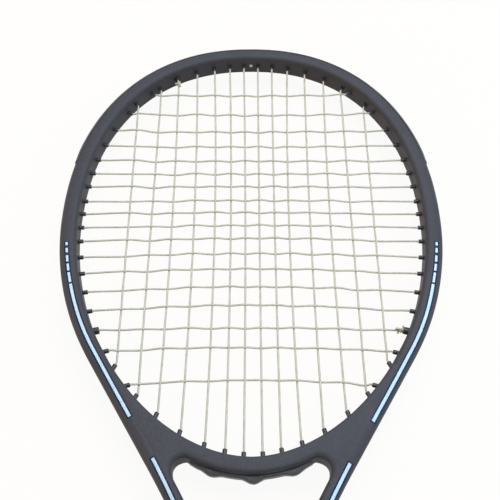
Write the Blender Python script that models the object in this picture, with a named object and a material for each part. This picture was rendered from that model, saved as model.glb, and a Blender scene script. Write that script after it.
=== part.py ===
# Tennis racket, strung and gripped, lying flat with its head towards +Y and its front face up.
# Metres. The origin is under the middle of the racket's length, on the surface that the butt rests on.
import math

import bmesh
import bpy
from mathutils import Vector, kdtree

MM = 0.001
WELD = 0.001 * MM

# Overall sizes
OVERALL_LENGTH = 685.8 * MM
BEAM = 18.0 * MM
CLEARANCE = 0.3 * MM
SHARP_EDGE_DEG = 35.0

# Outer outline of the frame, in the string plane
HEAD_HALF_WIDTH = 135.9 * MM
HEAD_RISE = 163.4 * MM
CROWN_POWER = 2.2
SHOULDER_DEPTH = 172.0 * MM
SHOULDER_SLOPE = 0.6185
BEND_BELOW_SHOULDER = 4.0 * MM
OUTLINE_FINE = 240
OUTLINE_SEARCH = 600
OUTLINE_STEP = 14.0 * MM
STRAIGHT_STEP = 40.0 * MM

# Section of the frame tube
HOOP_TUBE_WIDTH = 11.0 * MM
SHAFT_TUBE_WIDTH = 10.2 * MM
TUBE_WIDTH_FROM_BELOW_WIDEST = 178.0 * MM
TUBE_WIDTH_TO_BELOW_WIDEST = 28.0 * MM
TUBE_OUTER_RADIUS = 6.0 * MM
TUBE_INNER_CHAMFER = 1.5 * MM
TUBE_WALL = 1.6 * MM
GROOVE_DEPTH = 2.4 * MM
GROOVE_FADE_FROM_BELOW_BEND = 47.0 * MM
GROOVE_FADE_TO_BELOW_BEND = 24.0 * MM

# Bridge that closes the hoop at the throat
BRIDGE_INSET = 11.8 * MM
BRIDGE_BELOW_SHOULDER = 1.2 * MM
BRIDGE_POWER = 1.88
BRIDGE_WIDTH = 9.0 * MM
BRIDGE_THICKNESS = 17.0 * MM
BRIDGE_BEVEL = 1.2 * MM
BRIDGE_BEVEL_FROM_DEG = 50.0
BRIDGE_TIP_RISE = 35.2 * MM
BRIDGE_FILLET_PAST_STRIP = 1.5 * MM
BRIDGE_FILLET_TOP_DROP = 0.8 * MM
BRIDGE_FILLET_END_DROP = 8.8 * MM
BRIDGE_FILLET_EDGE = 1.2 * MM
BRIDGE_STEPS = 14
BRIDGE_SIDE_STEPS = 4

# Grommet strips and bumper
STRIP_THICKNESS = 1.0 * MM
BARREL_RADIUS = 1.5 * MM
BARREL_BORE_RADIUS = 1.05 * MM
BARREL_REACH = 3.0 * MM
TIE_BARREL_RADIUS = 2.5 * MM
TIE_BORE_RADIUS = 2.05 * MM
BARREL_SIDES = 6
BUMPER_END_RISE = 52.0 * MM
BUMPER_THICKNESS = 1.2 * MM
BUMPER_CHANNEL_HALF_WIDTH = 1.9 * MM
BUMPER_WRAP_DEG = 48.0
STRIP_JOINT_GAP = 0.6 * MM
STRIP_LOWER_MARGIN = 8.0 * MM
THROAT_STRIP_WIDTH = 5.6 * MM
THROAT_STRIP_MARGIN = 4.0 * MM
HUMP_HEIGHT = 3.4 * MM
HUMP_MARGIN = 3.2 * MM
HUMP_END_DROP = 0.55
HUMP_WIDTH_SHARE = 0.8
HUMP_STEPS = 8
LOOP_STEPS = 4

# String bed: 14 mains and 18 crosses in one length of string
STRING_DIAMETER = 1.3 * MM
STRING_BEVEL_RESOLUTION = 0
WEAVE_RISE = 2.3 * MM
MAIN_SHARE = 0.6556
BRIDGE_MAINS = 3
SHOULDER_MAINS = 2
MAIN_STEPS = (5.7, 11.4, 12.5, 14.0, 15.0, 13.5, 17.0)
CROSS_TOP_SHARE = 0.7283
CROSS_LOW_SHARE = 0.7064
CROSS_STEPS = (
    20.0, 17.0, 14.5, 13.5, 12.0, 11.5, 12.5, 10.5, 11.0, 11.0, 12.5, 12.5, 14.0, 14.0, 17.0, 14.0, 22.5,
)
CROSS_FAN = 0.036
CROSS_FAN_RISE = 37.0 * MM
CROSS_FAN_SHARE = 0.7432
STRING_CORNER = 0.9 * MM
STRING_MOUTH_RUN = 1.2 * MM
TIE_MAIN = 2
TIE_CROSS = 15
STRING_GAP_SAMPLE = 0.8 * MM
TIE_SPACING = 1.95 * MM
TIE_TAIL = 2.6 * MM
KNOT_RADIUS = 2.0 * MM
KNOT_END_RADIUS = 1.6 * MM
KNOT_LENGTH = 4.2 * MM
KNOT_WAIST = 0.3
KNOT_SIDES = 10

# Small plug in the inner wall at the crown
PLUG_RADIUS = 1.1 * MM
PLUG_HEAD_RADIUS = 1.7 * MM
PLUG_HEAD = 0.6 * MM
PLUG_HEAD_FACE_RADIUS = 1.2 * MM

# Handle
HANDLE_LENGTH = 197.9 * MM
PALLET_HALF_WIDTH = 14.8 * MM
PALLET_HALF_HEIGHT = 13.3 * MM
PALLET_CORNER = 7.2 * MM
CAP_END_WALL = 3.0 * MM
CAP_SKIRT_LENGTH = 32.0 * MM
CAP_SKIRT_WALL = 1.2 * MM
CAP_FLARE_START = 25.0 * MM
CAP_RIM = 7.0 * MM
CAP_FLARE = 4.2 * MM
CAP_RIM_LIP = 1.9 * MM
CAP_END_INSET = 1.0 * MM
NAIL_RADIUS = 0.8 * MM
NAIL_HEAD_RADIUS = 1.6 * MM
NAIL_HEAD = 0.8 * MM
NAIL_LENGTH = 3.6 * MM
NAIL_SIDES = 8
NAIL_FROM_SKIRT_TOP = 4.0 * MM
GRIP_THICKNESS = 1.4 * MM
GRIP_PITCH = 25.4 * MM
GRIP_GAP = 0.6 * MM
GRIP_STRIP_END = 3.0 * MM
GRIP_BELOW_TOP = 3.0 * MM
TAPE_LENGTH = 16.0 * MM
TAPE_THICKNESS = 0.4 * MM
COLLAR_LENGTH = 24.0 * MM
COLLAR_WALL = 1.5 * MM
COLLAR_PAST_HANDLE = 9.0 * MM

# Finishes: colour, roughness, metallic
GRAPHITE = (0.078, 0.080, 0.092, 1.0), 0.35, 0.0
GROMMET_NYLON = (0.030, 0.030, 0.032, 1.0), 0.55, 0.0
STRING_GUT = (0.42, 0.40, 0.36, 1.0), 0.45, 0.0
PLUG_NYLON = (0.60, 0.62, 0.64, 1.0), 0.50, 0.0
HANDLE_FOAM = (0.62, 0.52, 0.34, 1.0), 0.80, 0.0
CAP_PLASTIC = (0.025, 0.025, 0.028, 1.0), 0.45, 0.0
NAIL_STEEL = (0.55, 0.55, 0.56, 1.0), 0.35, 1.0
GRIP_LEATHER = (0.035, 0.033, 0.032, 1.0), 0.65, 0.0
TAPE_VINYL = (0.020, 0.020, 0.022, 1.0), 0.40, 0.0
COLLAR_RUBBER = (0.022, 0.022, 0.024, 1.0), 0.75, 0.0

# Worked out from the sizes above
BUTT_Y = -OVERALL_LENGTH / 2
HALF_BEAM = BEAM / 2
BUMPER_STANDOFF = CLEARANCE + BUMPER_THICKNESS
CROWN_Y = OVERALL_LENGTH / 2 - BUMPER_STANDOFF
WIDEST_Y = CROWN_Y - HEAD_RISE
SHAFT_BEND_Y = WIDEST_Y - SHOULDER_DEPTH - BEND_BELOW_SHOULDER
HANDLE_TOP_Y = BUTT_Y + HANDLE_LENGTH
TUBE_WIDTH_FROM_Y = WIDEST_Y - TUBE_WIDTH_FROM_BELOW_WIDEST
TUBE_WIDTH_TO_Y = WIDEST_Y - TUBE_WIDTH_TO_BELOW_WIDEST
GROOVE_FADE_FROM_Y = SHAFT_BEND_Y - GROOVE_FADE_FROM_BELOW_BEND
GROOVE_FADE_TO_Y = SHAFT_BEND_Y - GROOVE_FADE_TO_BELOW_BEND
BRIDGE_INNER_HALF_WIDTH = HEAD_HALF_WIDTH - BRIDGE_INSET
BRIDGE_INNER_DEPTH = SHOULDER_DEPTH + BRIDGE_BELOW_SHOULDER
BRIDGE_BASE_Y = WIDEST_Y - BRIDGE_INNER_DEPTH
BRIDGE_TIP_Y = BRIDGE_BASE_Y + BRIDGE_TIP_RISE
BRIDGE_FILLET_TOP_Y = BRIDGE_BASE_Y - BRIDGE_FILLET_TOP_DROP
BRIDGE_FILLET_END_Y = BRIDGE_BASE_Y - BRIDGE_FILLET_END_DROP
BUMPER_END_Y = WIDEST_Y + BUMPER_END_RISE
HANDLE_TUBE_X = SHAFT_TUBE_WIDTH + CLEARANCE
TUBE_END_Y = BUTT_Y + CAP_END_WALL + CLEARANCE
GROOVE_HALF_WIDTH = HALF_BEAM - TUBE_OUTER_RADIUS
STRIP_HALF_WIDTH = GROOVE_HALF_WIDTH - CLEARANCE
STRIP_FLOOR = CLEARANCE - GROOVE_DEPTH
STRING_RADIUS = STRING_DIAMETER / 2
STRING_SEAT = STRIP_FLOOR + STRIP_THICKNESS + CLEARANCE + STRING_RADIUS
STRING_TURN = BARREL_REACH + STRING_MOUTH_RUN
PLANE_Z = PALLET_HALF_HEIGHT + CAP_FLARE + CAP_RIM_LIP
MAIN_SPREAD = HEAD_HALF_WIDTH * MAIN_SHARE / sum(MAIN_STEPS)
MAIN_X = [MAIN_SPREAD * sum(MAIN_STEPS[:k + 1]) for k in range(len(MAIN_STEPS))]
CROSS_FIRST_Y = WIDEST_Y + HEAD_RISE * CROSS_TOP_SHARE
CROSS_LAST_Y = WIDEST_Y - SHOULDER_DEPTH * CROSS_LOW_SHARE
CROSS_SPREAD = (CROSS_FIRST_Y - CROSS_LAST_Y) / sum(CROSS_STEPS)
CROSS_Y = [CROSS_FIRST_Y - CROSS_SPREAD * sum(CROSS_STEPS[:k]) for k in range(len(CROSS_STEPS) + 1)]
CROSS_FAN_Y = WIDEST_Y + CROSS_FAN_RISE
CROSS_FAN_X = HEAD_HALF_WIDTH * CROSS_FAN_SHARE


def smooth_step(low, high, value):
    t = min(1.0, max(0.0, (value - low) / (high - low)))
    return t * t * (3 - 2 * t)


def tube_width(y):
    share = smooth_step(TUBE_WIDTH_FROM_Y, TUBE_WIDTH_TO_Y, y)
    return SHAFT_TUBE_WIDTH + (HOOP_TUBE_WIDTH - SHAFT_TUBE_WIDTH) * share


def groove_depth(y):
    return GROOVE_DEPTH * smooth_step(GROOVE_FADE_FROM_Y, GROOVE_FADE_TO_Y, y)


# Outline of the right half, from the crown to the end of the tube in the handle
def half_outline():
    fine = OUTLINE_FINE
    points = []
    crown_height = CROWN_Y - WIDEST_Y
    for k in range(fine):
        t = math.pi / 2 * (1 - k / fine)
        x = HEAD_HALF_WIDTH * max(math.cos(t), 0.0) ** (2 / CROWN_POWER)
        y = WIDEST_Y + crown_height * math.sin(t) ** (2 / CROWN_POWER)
        points.append(Vector((x, y)))
    turn = math.atan(SHOULDER_SLOPE * SHOULDER_DEPTH / HEAD_HALF_WIDTH)
    for k in range(fine + 1):
        t = turn * k / fine
        x = HEAD_HALF_WIDTH * math.cos(t)
        points.append(Vector((x, WIDEST_Y - SHOULDER_DEPTH * math.sin(t))))
    bend_x = points[-1].x - SHOULDER_SLOPE * (points[-1].y - SHAFT_BEND_Y)
    run = SHAFT_BEND_Y - HANDLE_TOP_Y
    for k in range(fine + 1):
        t = k / fine
        start_share = 1 - 3 * t * t + 2 * t ** 3
        slope_share = t - 2 * t * t + t ** 3
        x = bend_x * start_share + HANDLE_TUBE_X * (1 - start_share) - SHOULDER_SLOPE * run * slope_share
        points.append(Vector((x, SHAFT_BEND_Y - run * t)))
    points.append(Vector((HANDLE_TUBE_X, TUBE_END_Y)))
    return points


OUTLINE = half_outline()
REACHED = [0.0]
for before, after in zip(OUTLINE, OUTLINE[1:]):
    REACHED.append(REACHED[-1] + (after - before).length)


# Point and outward normal of the right half at a distance along the outline from the crown
def outline_at(distance):
    low, high = 0, len(REACHED) - 2
    while low < high:
        middle = (low + high + 1) // 2
        if REACHED[middle] <= distance:
            low = middle
        else:
            high = middle - 1
    step = OUTLINE[low + 1] - OUTLINE[low]
    share = (distance - REACHED[low]) / (REACHED[low + 1] - REACHED[low])
    tangent = step.normalized()
    normal = Vector((0.0, 1.0)) if distance < 1e-9 else Vector((-tangent.y, tangent.x))
    return OUTLINE[low] + step * share, normal


# Distance along the outline at which a measure of its points falls to a value
def outline_where(measure, value, start, end):
    last = None
    for k in range(OUTLINE_SEARCH + 1):
        distance = start + (end - start) * k / OUTLINE_SEARCH
        found = measure(distance) - value
        if last is not None and last[1] * found <= 0 and last[1] != found:
            return last[0] + (distance - last[0]) * last[1] / (last[1] - found)
        last = distance, found
    return end


def outline_y(distance):
    return outline_at(distance)[0].y


WIDEST_AT = REACHED[OUTLINE_FINE]
BEND_AT = outline_where(outline_y, SHAFT_BEND_Y, WIDEST_AT, REACHED[-1])
HANDLE_AT = outline_where(outline_y, HANDLE_TOP_Y, BEND_AT, REACHED[-1])
BUMPER_END_AT = outline_where(outline_y, BUMPER_END_Y, 0.0, WIDEST_AT)


# Even stations: short steps round the hoop and the shafts' bend, long ones where the tube is straight
def half_stations():
    stations = [0.0]
    straight_from = outline_where(outline_y, OUTLINE[2 * OUTLINE_FINE].y, WIDEST_AT, BEND_AT)
    spans = ((straight_from, OUTLINE_STEP), (BEND_AT, STRAIGHT_STEP), (HANDLE_AT, OUTLINE_STEP))
    for end, step in spans:
        start = stations[-1]
        count = max(1, math.ceil((end - start) / step))
        stations += [start + (end - start) * k / count for k in range(1, count + 1)]
    return stations + [REACHED[-1]]


STATIONS = half_stations()


def side_point(distance, side, offset, height):
    point, normal = outline_at(distance)
    flat = point + normal * offset
    return Vector((side * flat.x, flat.y, height))


# Both halves' stations in one run, from one butt end over the crown to the other
def full_run(last):
    inside = [d for d in STATIONS if d < last - 1e-6] + [last]
    return [(d, -1) for d in reversed(inside[1:])] + [(d, 1) for d in inside]


def finish(name, finish_values):
    colour, roughness, metallic = finish_values
    material = bpy.data.materials.new(name)
    material.use_nodes = True
    shader = material.node_tree.nodes["Principled BSDF"]
    shader.inputs["Base Color"].default_value = colour
    shader.inputs["Roughness"].default_value = roughness
    shader.inputs["Metallic"].default_value = metallic
    return material


def place(name, data, look):
    item = bpy.data.objects.new(name, data)
    bpy.context.collection.objects.link(item)
    item.parent = RACKET
    if look:
        data.materials.append(finish(name, look))
    else:
        item.hide_render = True
        item.display_type = "WIRE"
    return item


# Solid through rings of points: capped at both ends, or closed into a loop
def loft(name, rings, look, closed=False):
    build = bmesh.new()
    made = [[build.verts.new(point) for point in ring] for ring in rings]
    count = len(rings[0])
    pairs = list(zip(made, made[1:]))
    if closed:
        pairs.append((made[-1], made[0]))
    for lower, upper in pairs:
        for k in range(count):
            after = (k + 1) % count
            build.faces.new((lower[k], lower[after], upper[after], upper[k]))
    if not closed:
        build.faces.new(list(reversed(made[0])))
        build.faces.new(made[-1])
    bmesh.ops.remove_doubles(build, verts=build.verts, dist=WELD)
    bmesh.ops.recalc_face_normals(build, faces=build.faces)
    return keep(name, build, look)


def keep(name, build, look):
    mesh = bpy.data.meshes.new(name)
    build.to_mesh(mesh)
    build.free()
    mesh.shade_smooth()
    mesh.set_sharp_from_angle(angle=math.radians(SHARP_EDGE_DEG))
    return place(name, mesh, look)


# Many-sided rods, each between two points, in one cutter or one set of barrels
def rods(name, items, sides=BARREL_SIDES):
    build = bmesh.new()
    for start, end, radius in items:
        axis = (end - start).normalized()
        across = Vector((0.0, 0.0, 1.0)).cross(axis)
        across = across.normalized() if across.length > 1e-6 else Vector((1.0, 0.0, 0.0))
        up = axis.cross(across)
        rings = []
        for centre in (start, end):
            ring = []
            for k in range(sides):
                angle = 2 * math.pi * (k + 0.5) / sides
                spoke = across * math.cos(angle) + up * math.sin(angle)
                ring.append(build.verts.new(centre + spoke * radius))
            rings.append(ring)
        for k in range(sides):
            after = (k + 1) % sides
            build.faces.new((rings[0][k], rings[0][after], rings[1][after], rings[1][k]))
        build.faces.new(list(reversed(rings[0])))
        build.faces.new(rings[1])
    bmesh.ops.recalc_face_normals(build, faces=build.faces)
    return keep(name, build, None)


def combine(item, operation, other):
    step = item.modifiers.new(operation.lower(), "BOOLEAN")
    step.operation = operation
    step.object = other
    step.solver = "EXACT"


# Section of the tube, from the inner wall round the front and outer faces to the back
def tube_section(distance, side):
    y = outline_y(distance)
    width = tube_width(y)
    radius = TUBE_OUTER_RADIUS
    half = [(-width, HALF_BEAM - TUBE_INNER_CHAMFER), (TUBE_INNER_CHAMFER - width, HALF_BEAM)]
    for degrees in (90, 60, 30, 0):
        angle = math.radians(degrees)
        half.append((radius * (math.cos(angle) - 1), HALF_BEAM - radius + radius * math.sin(angle)))
    half.append((-groove_depth(y), GROOVE_HALF_WIDTH))
    section = half + [(u, -v) for u, v in reversed(half)]
    return [side_point(distance, side, u, v) for u, v in section]


def cavity_section(distance, side):
    width = tube_width(outline_y(distance))
    inner = TUBE_WALL - width
    outer = -GROOVE_DEPTH - TUBE_WALL
    top = HALF_BEAM - TUBE_WALL
    corner = (outer - inner) / 2
    half = [(inner, top), (outer - corner, top), (outer, top - corner)]
    section = half + [(u, -v) for u, v in reversed(half)]
    return [side_point(distance, side, u, v) for u, v in section]


# Inner edge of the bridge on the right half: height at a distance from the middle line
def bridge_inner_y(x):
    share = min(1.0, abs(x) / BRIDGE_INNER_HALF_WIDTH)
    return WIDEST_Y - BRIDGE_INNER_DEPTH * (1 - share ** BRIDGE_POWER) ** (1 / BRIDGE_POWER)


def bridge_outward(x):
    small = 0.05 * MM
    slope = (bridge_inner_y(abs(x) + small) - bridge_inner_y(max(0.0, abs(x) - small))) / (2 * small)
    normal = Vector((slope, -1.0)).normalized() if x else Vector((0.0, -1.0))
    return normal


# A string hole: its inside mouth, the way out through the frame, and where it meets the outer face
class Hole:
    def __init__(self, mouth, outward, length, carrier, distance, side):
        self.mouth = mouth
        self.outward = outward
        self.length = length
        self.carrier = carrier
        self.distance = distance
        self.side = side
        self.tie = False

    def along(self, depth):
        return self.mouth + self.outward * depth

    # A tie hole holds two strands, one above the other
    def strand(self, depth, tail=False):
        lane = 0.0
        if self.tie:
            lane = TIE_SPACING / 2 if tail else -TIE_SPACING / 2
        return self.along(depth) + Vector((0.0, 0.0, lane))

    def bore_radius(self):
        return TIE_BORE_RADIUS if self.tie else BARREL_BORE_RADIUS

    def barrel_radius(self):
        return TIE_BARREL_RADIUS if self.tie else BARREL_RADIUS

    def drill_radius(self):
        return self.barrel_radius() + CLEARANCE / math.cos(math.pi / BARREL_SIDES)


def hoop_hole(measure, value, start, end, side):
    def at_turn(distance):
        point, normal = outline_at(distance)
        return measure(point - normal * (tube_width(point.y) + STRING_TURN))

    distance = outline_where(at_turn, value, start, end)
    point, normal = outline_at(distance)
    depth = tube_width(point.y) + BARREL_REACH
    flat = point - normal * depth
    mouth = Vector((side * flat.x, flat.y, 0.0))
    outward = Vector((side * normal.x, normal.y, 0.0))
    return Hole(mouth, outward, depth, "hoop", distance, side)


# Hole through the bridge, and on through the tube beside the throat
def bridge_hole(x, side, through_tube):
    low, high = 0.0, BRIDGE_INNER_HALF_WIDTH
    for _ in range(60):
        middle = (low + high) / 2
        if middle - bridge_outward(middle).x * STRING_TURN < x:
            low = middle
        else:
            high = middle
    outward = bridge_outward(low)
    flat = Vector((low, bridge_inner_y(low))) - outward * BARREL_REACH
    mouth = Vector((side * flat.x, flat.y, 0.0))
    direction = Vector((side * outward.x, outward.y, 0.0))
    if not through_tube:
        return Hole(mouth, direction, BARREL_REACH + BRIDGE_WIDTH, "bridge", low, side)

    def aside(distance):
        point = outline_at(distance)[0] - flat
        return point.x * outward.y - point.y * outward.x

    distance = outline_where(aside, 0.0, WIDEST_AT, HANDLE_AT)
    reach = (outline_at(distance)[0] - flat).length
    return Hole(mouth, direction, reach, "both", distance, side)


def main_place(column):
    side = -1 if column < len(MAIN_X) else 1
    rank = len(MAIN_X) - 1 - column if side < 0 else column - len(MAIN_X)
    return side, rank


def head_hole(column):
    side, rank = main_place(column)
    return hoop_hole(lambda turn: turn.x, MAIN_X[rank], 0.0, WIDEST_AT, side)


def throat_hole(column):
    side, rank = main_place(column)
    if rank >= BRIDGE_MAINS + SHOULDER_MAINS:
        return hoop_hole(lambda turn: turn.x, MAIN_X[rank], WIDEST_AT, BEND_AT, side)
    return bridge_hole(MAIN_X[rank], side, rank >= BRIDGE_MAINS)


# The crosses spread a little towards the rim
def cross_y(row, x):
    middle = CROSS_Y[row]
    return middle + CROSS_FAN * (middle - CROSS_FAN_Y) * (x / CROSS_FAN_X) ** 2


def cross_hole(row, side):
    return hoop_hole(lambda turn: turn.y - cross_y(row, turn.x), 0.0, 0.0, BEND_AT, side)


def string_holes():
    columns = range(2 * len(MAIN_X))
    rows = range(len(CROSS_Y))
    heads = [head_hole(column) for column in columns]
    throats = [throat_hole(column) for column in columns]
    rights = [cross_hole(row, 1) for row in rows]
    lefts = [cross_hole(row, -1) for row in rows]
    # Where two runs of string share the groove, they lie in two lanes
    lane = Vector((0.0, 0.0, TIE_SPACING / 2))
    heads[TIE_MAIN].tie = True
    rights[TIE_CROSS].tie = True
    for hole in [heads[TIE_MAIN - 2], rights[TIE_CROSS + 2]] + lefts[-2:]:
        hole.mouth = hole.mouth + lane
    for hole in [heads[TIE_MAIN - 1], rights[TIE_CROSS + 1]] + lefts[:2] + throats[:2] + throats[-2:]:
        hole.mouth = hole.mouth - lane
    return heads, throats, rights, lefts


def barrel_rods(holes):
    made = []
    for hole in holes:
        floor = CLEARANCE if hole.carrier == "bridge" else STRIP_FLOOR
        seat = floor + STRIP_THICKNESS / 2
        made.append((hole.along(0.0), hole.along(hole.length + seat), hole.barrel_radius()))
    return made


def bore_rods(holes):
    past = 2 * STRING_DIAMETER
    return [(hole.along(-past), hole.along(hole.length + past), hole.bore_radius()) for hole in holes]


def drill_rods(holes):
    past = STRING_DIAMETER
    return [(hole.along(0.0), hole.along(hole.length + past), hole.drill_radius()) for hole in holes]


# Frame tube, hollow and open at its two ends inside the handle
def make_frame_tube(holes):
    run = full_run(STATIONS[-1])
    tube = loft("frame_tube", [tube_section(d, side) for d, side in run], GRAPHITE)
    rings = [cavity_section(d, side) for d, side in run]
    beyond = Vector((0.0, -2 * TUBE_WALL, 0.0))
    for end in (0, -1):
        rings[end] = [point + beyond for point in rings[end]]
    combine(tube, "DIFFERENCE", loft("tube_cavity", rings, None))
    inner_wall = Vector((0.0, CROWN_Y - tube_width(CROWN_Y), 0.0))
    reach = Vector((0.0, 2 * TUBE_WALL, 0.0))
    plug_radius = PLUG_RADIUS + CLEARANCE / math.cos(math.pi / BARREL_SIDES)
    plug_hole = inner_wall - reach, inner_wall + reach, plug_radius
    cut = drill_rods([hole for hole in holes if hole.carrier != "bridge"]) + [plug_hole]
    combine(tube, "DIFFERENCE", rods("tube_holes", cut))


def throat_strip_reach(holes):
    return max(h.distance for h in holes if h.carrier == "bridge") + THROAT_STRIP_MARGIN


# Bridge: the band between the two tubes that the lower mains pass through
def make_throat_bridge(holes):
    def tube_edge(distance, gap):
        point, normal = outline_at(distance)
        return point - normal * (tube_width(point.y) + gap)

    def edge_at(y):
        return outline_where(lambda distance: tube_edge(distance, CLEARANCE).y, y, WIDEST_AT, HANDLE_AT)

    tip_at = edge_at(BRIDGE_TIP_Y)
    end_at = edge_at(BRIDGE_FILLET_END_Y)
    share = 1 - ((WIDEST_Y - BRIDGE_TIP_Y) / BRIDGE_INNER_DEPTH) ** BRIDGE_POWER
    tip_x = BRIDGE_INNER_HALF_WIDTH * share ** (1 / BRIDGE_POWER)
    spots = [tip_x * k / BRIDGE_STEPS for k in range(BRIDGE_STEPS + 1)]
    upper = [Vector((x, bridge_inner_y(x))) for x in spots]
    side_steps = BRIDGE_SIDE_STEPS
    side_at = [tip_at + (end_at - tip_at) * k / side_steps for k in range(side_steps + 1)]
    outer = [tube_edge(distance, CLEARANCE) for distance in side_at]
    lower_steps = BRIDGE_STEPS // 2
    lower_span = throat_strip_reach(holes) + BRIDGE_FILLET_PAST_STRIP
    spots = [lower_span * k / lower_steps for k in range(lower_steps + 1)]
    lower = [Vector((x, bridge_inner_y(x))) + bridge_outward(x) * BRIDGE_WIDTH for x in spots]
    corner = tube_edge(edge_at(BRIDGE_FILLET_TOP_Y), CLEARANCE)
    last = tube_edge(end_at, CLEARANCE + BRIDGE_FILLET_EDGE)
    fillet = []
    for k in range(1, side_steps + 1):
        t = k / side_steps
        fillet.append(lower[-1] * (1 - t) ** 2 + corner * (2 * t * (1 - t)) + last * t * t)
    right = upper + outer + fillet[::-1] + lower[::-1]
    outline = right + [Vector((-point.x, point.y)) for point in right[-2:0:-1]]
    half = BRIDGE_THICKNESS / 2
    rings = [[Vector((p.x, p.y, height)) for p in outline] for height in (-half, half)]
    bridge = loft("throat_bridge", rings, GRAPHITE)
    ease = bridge.modifiers.new("eased_edges", "BEVEL")
    ease.width = BRIDGE_BEVEL
    ease.segments = 1
    ease.limit_method = "ANGLE"
    ease.angle_limit = math.radians(BRIDGE_BEVEL_FROM_DEG)
    drilled = drill_rods([h for h in holes if h.carrier != "hoop"])
    combine(bridge, "DIFFERENCE", rods("bridge_holes", drilled))


def strip_section(distance, side):
    top = STRIP_FLOOR + STRIP_THICKNESS
    half = STRIP_HALF_WIDTH
    section = ((STRIP_FLOOR, -half), (STRIP_FLOOR, half), (top, half), (top, -half))
    return [side_point(distance, side, u, v) for u, v in section]


# Bumper: a strip in the groove with two rails that stand on the rounded outer face
def bumper_section(distance, side):
    radius = TUBE_OUTER_RADIUS
    centre = HALF_BEAM - radius
    channel = BUMPER_CHANNEL_HALF_WIDTH
    wrap = math.radians(BUMPER_WRAP_DEG)
    half = [(STRIP_FLOOR, STRIP_HALF_WIDTH), (CLEARANCE, STRIP_HALF_WIDTH)]
    rail = (wrap / 2, CLEARANCE), (wrap, CLEARANCE), (wrap, BUMPER_STANDOFF), (wrap / 2, BUMPER_STANDOFF)
    for angle, out in rail:
        reach = radius + out
        half.append((reach * math.cos(angle) - radius, centre + reach * math.sin(angle)))
    floor = STRIP_FLOOR + STRIP_THICKNESS
    half += [(BUMPER_STANDOFF, centre), (BUMPER_STANDOFF, channel), (floor, channel)]
    section = half + [(u, -v) for u, v in reversed(half)]
    return [side_point(distance, side, u, v) for u, v in section]


def add_barrels(strip, holes):
    combine(strip, "UNION", rods(strip.name + "_barrels", barrel_rods(holes)))
    combine(strip, "DIFFERENCE", rods(strip.name + "_bores", bore_rods(holes)))


def make_bumper_guard(holes):
    run = full_run(BUMPER_END_AT)
    bumper = loft("bumper_guard", [bumper_section(d, side) for d, side in run], GROMMET_NYLON)
    add_barrels(bumper, [h for h in holes if h.carrier == "hoop" and h.distance < BUMPER_END_AT])


def make_side_strip(name, side, holes):
    mine = [h for h in holes if h.side == side and h.carrier != "bridge" and h.distance > BUMPER_END_AT]
    start = BUMPER_END_AT + STRIP_JOINT_GAP
    end = max(h.distance for h in mine) + STRIP_LOWER_MARGIN
    run = [start] + [d for d in STATIONS if start < d < end] + [end]
    add_barrels(loft(name, [strip_section(d, side) for d in run], GROMMET_NYLON), mine)


# Point below the bridge at a place along its inner edge
def throat_point(along, depth, height):
    x = abs(along)
    flat = Vector((x, bridge_inner_y(x))) + bridge_outward(x) * (BRIDGE_WIDTH + depth)
    return Vector((math.copysign(flat.x, along), flat.y, height))


def throat_loop(first, second):
    depth = CLEARANCE + STRIP_THICKNESS + CLEARANCE + STRING_RADIUS
    low = first.side * first.distance
    high = second.side * second.distance
    places = [low + (high - low) * k / LOOP_STEPS for k in range(LOOP_STEPS + 1)]
    return [throat_point(along, depth, 0.0) for along in places]


# Throat strip: lies under the bridge, with a hump over each loop of string
def make_throat_strip(holes):
    mine = sorted((h for h in holes if h.carrier == "bridge"), key=lambda h: h.mouth.x)
    reach = throat_strip_reach(holes)
    half = THROAT_STRIP_WIDTH / 2
    top = CLEARANCE + STRIP_THICKNESS

    def ring(along, inner, outer, width):
        corners = (inner, -width), (inner, width), (outer, width), (outer, -width)
        return [throat_point(along, depth, height) for depth, height in corners]

    steps = 2 * BRIDGE_STEPS
    rings = [ring(reach * (2 * k / steps - 1), CLEARANCE, top, half) for k in range(steps + 1)]
    strip = loft("throat_grommet_strip", rings, GROMMET_NYLON)
    pairs = list(zip(mine[0::2], mine[1::2]))
    for number, (first, second) in enumerate(pairs):
        low = first.side * first.distance - HUMP_MARGIN
        high = second.side * second.distance + HUMP_MARGIN
        hump = []
        for k in range(HUMP_STEPS + 1):
            t = k / HUMP_STEPS
            rise = HUMP_HEIGHT * (1 - HUMP_END_DROP * abs(2 * t - 1) ** 4)
            along = low + (high - low) * t
            hump.append(ring(along, top - STRIP_THICKNESS / 2, top + rise, half * HUMP_WIDTH_SHARE))
        combine(strip, "UNION", loft("throat_hump_%d" % number, hump, None))
    add_barrels(strip, mine)
    for number, (first, second) in enumerate(pairs):
        loop = throat_loop(first, second)
        rings = []
        for k, point in enumerate(loop):
            way = (loop[min(k + 1, len(loop) - 1)] - loop[max(k - 1, 0)]).normalized()
            side = Vector((-way.y, way.x, 0.0)) * BARREL_BORE_RADIUS
            lift = Vector((0.0, 0.0, BARREL_BORE_RADIUS))
            end = way * BARREL_BORE_RADIUS * ((k == len(loop) - 1) - (k == 0))
            rings.append([point + end + side - lift, point + end + side + lift,
                          point + end - side + lift, point + end - side - lift])
        combine(strip, "DIFFERENCE", loft("throat_tunnel_%d" % number, rings, None))


# Run of string in the outer groove between two holes on one side of the hoop
def groove_run(first, second, tail=False):
    low, high = sorted((first.distance, second.distance))
    between = [d for d in STATIONS if low < d < high]
    if first.distance > second.distance:
        between.reverse()
    height = second.strand(0.0, tail).z
    places = [first.distance] + between + [second.distance]
    return [side_point(d, first.side, STRING_SEAT, height) for d in places]


# The ends of a run turn into their holes, with the corner cut
def cornered(points, first, second):
    start, end = points[0], points[-1]
    lead = (points[1] - start).normalized() * STRING_CORNER
    trail = (points[-2] - end).normalized() * STRING_CORNER
    head = [start - first.outward * STRING_CORNER, start + lead]
    tail = [end + trail, end - second.outward * STRING_CORNER]
    return head + points[1:-1] + tail


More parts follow.
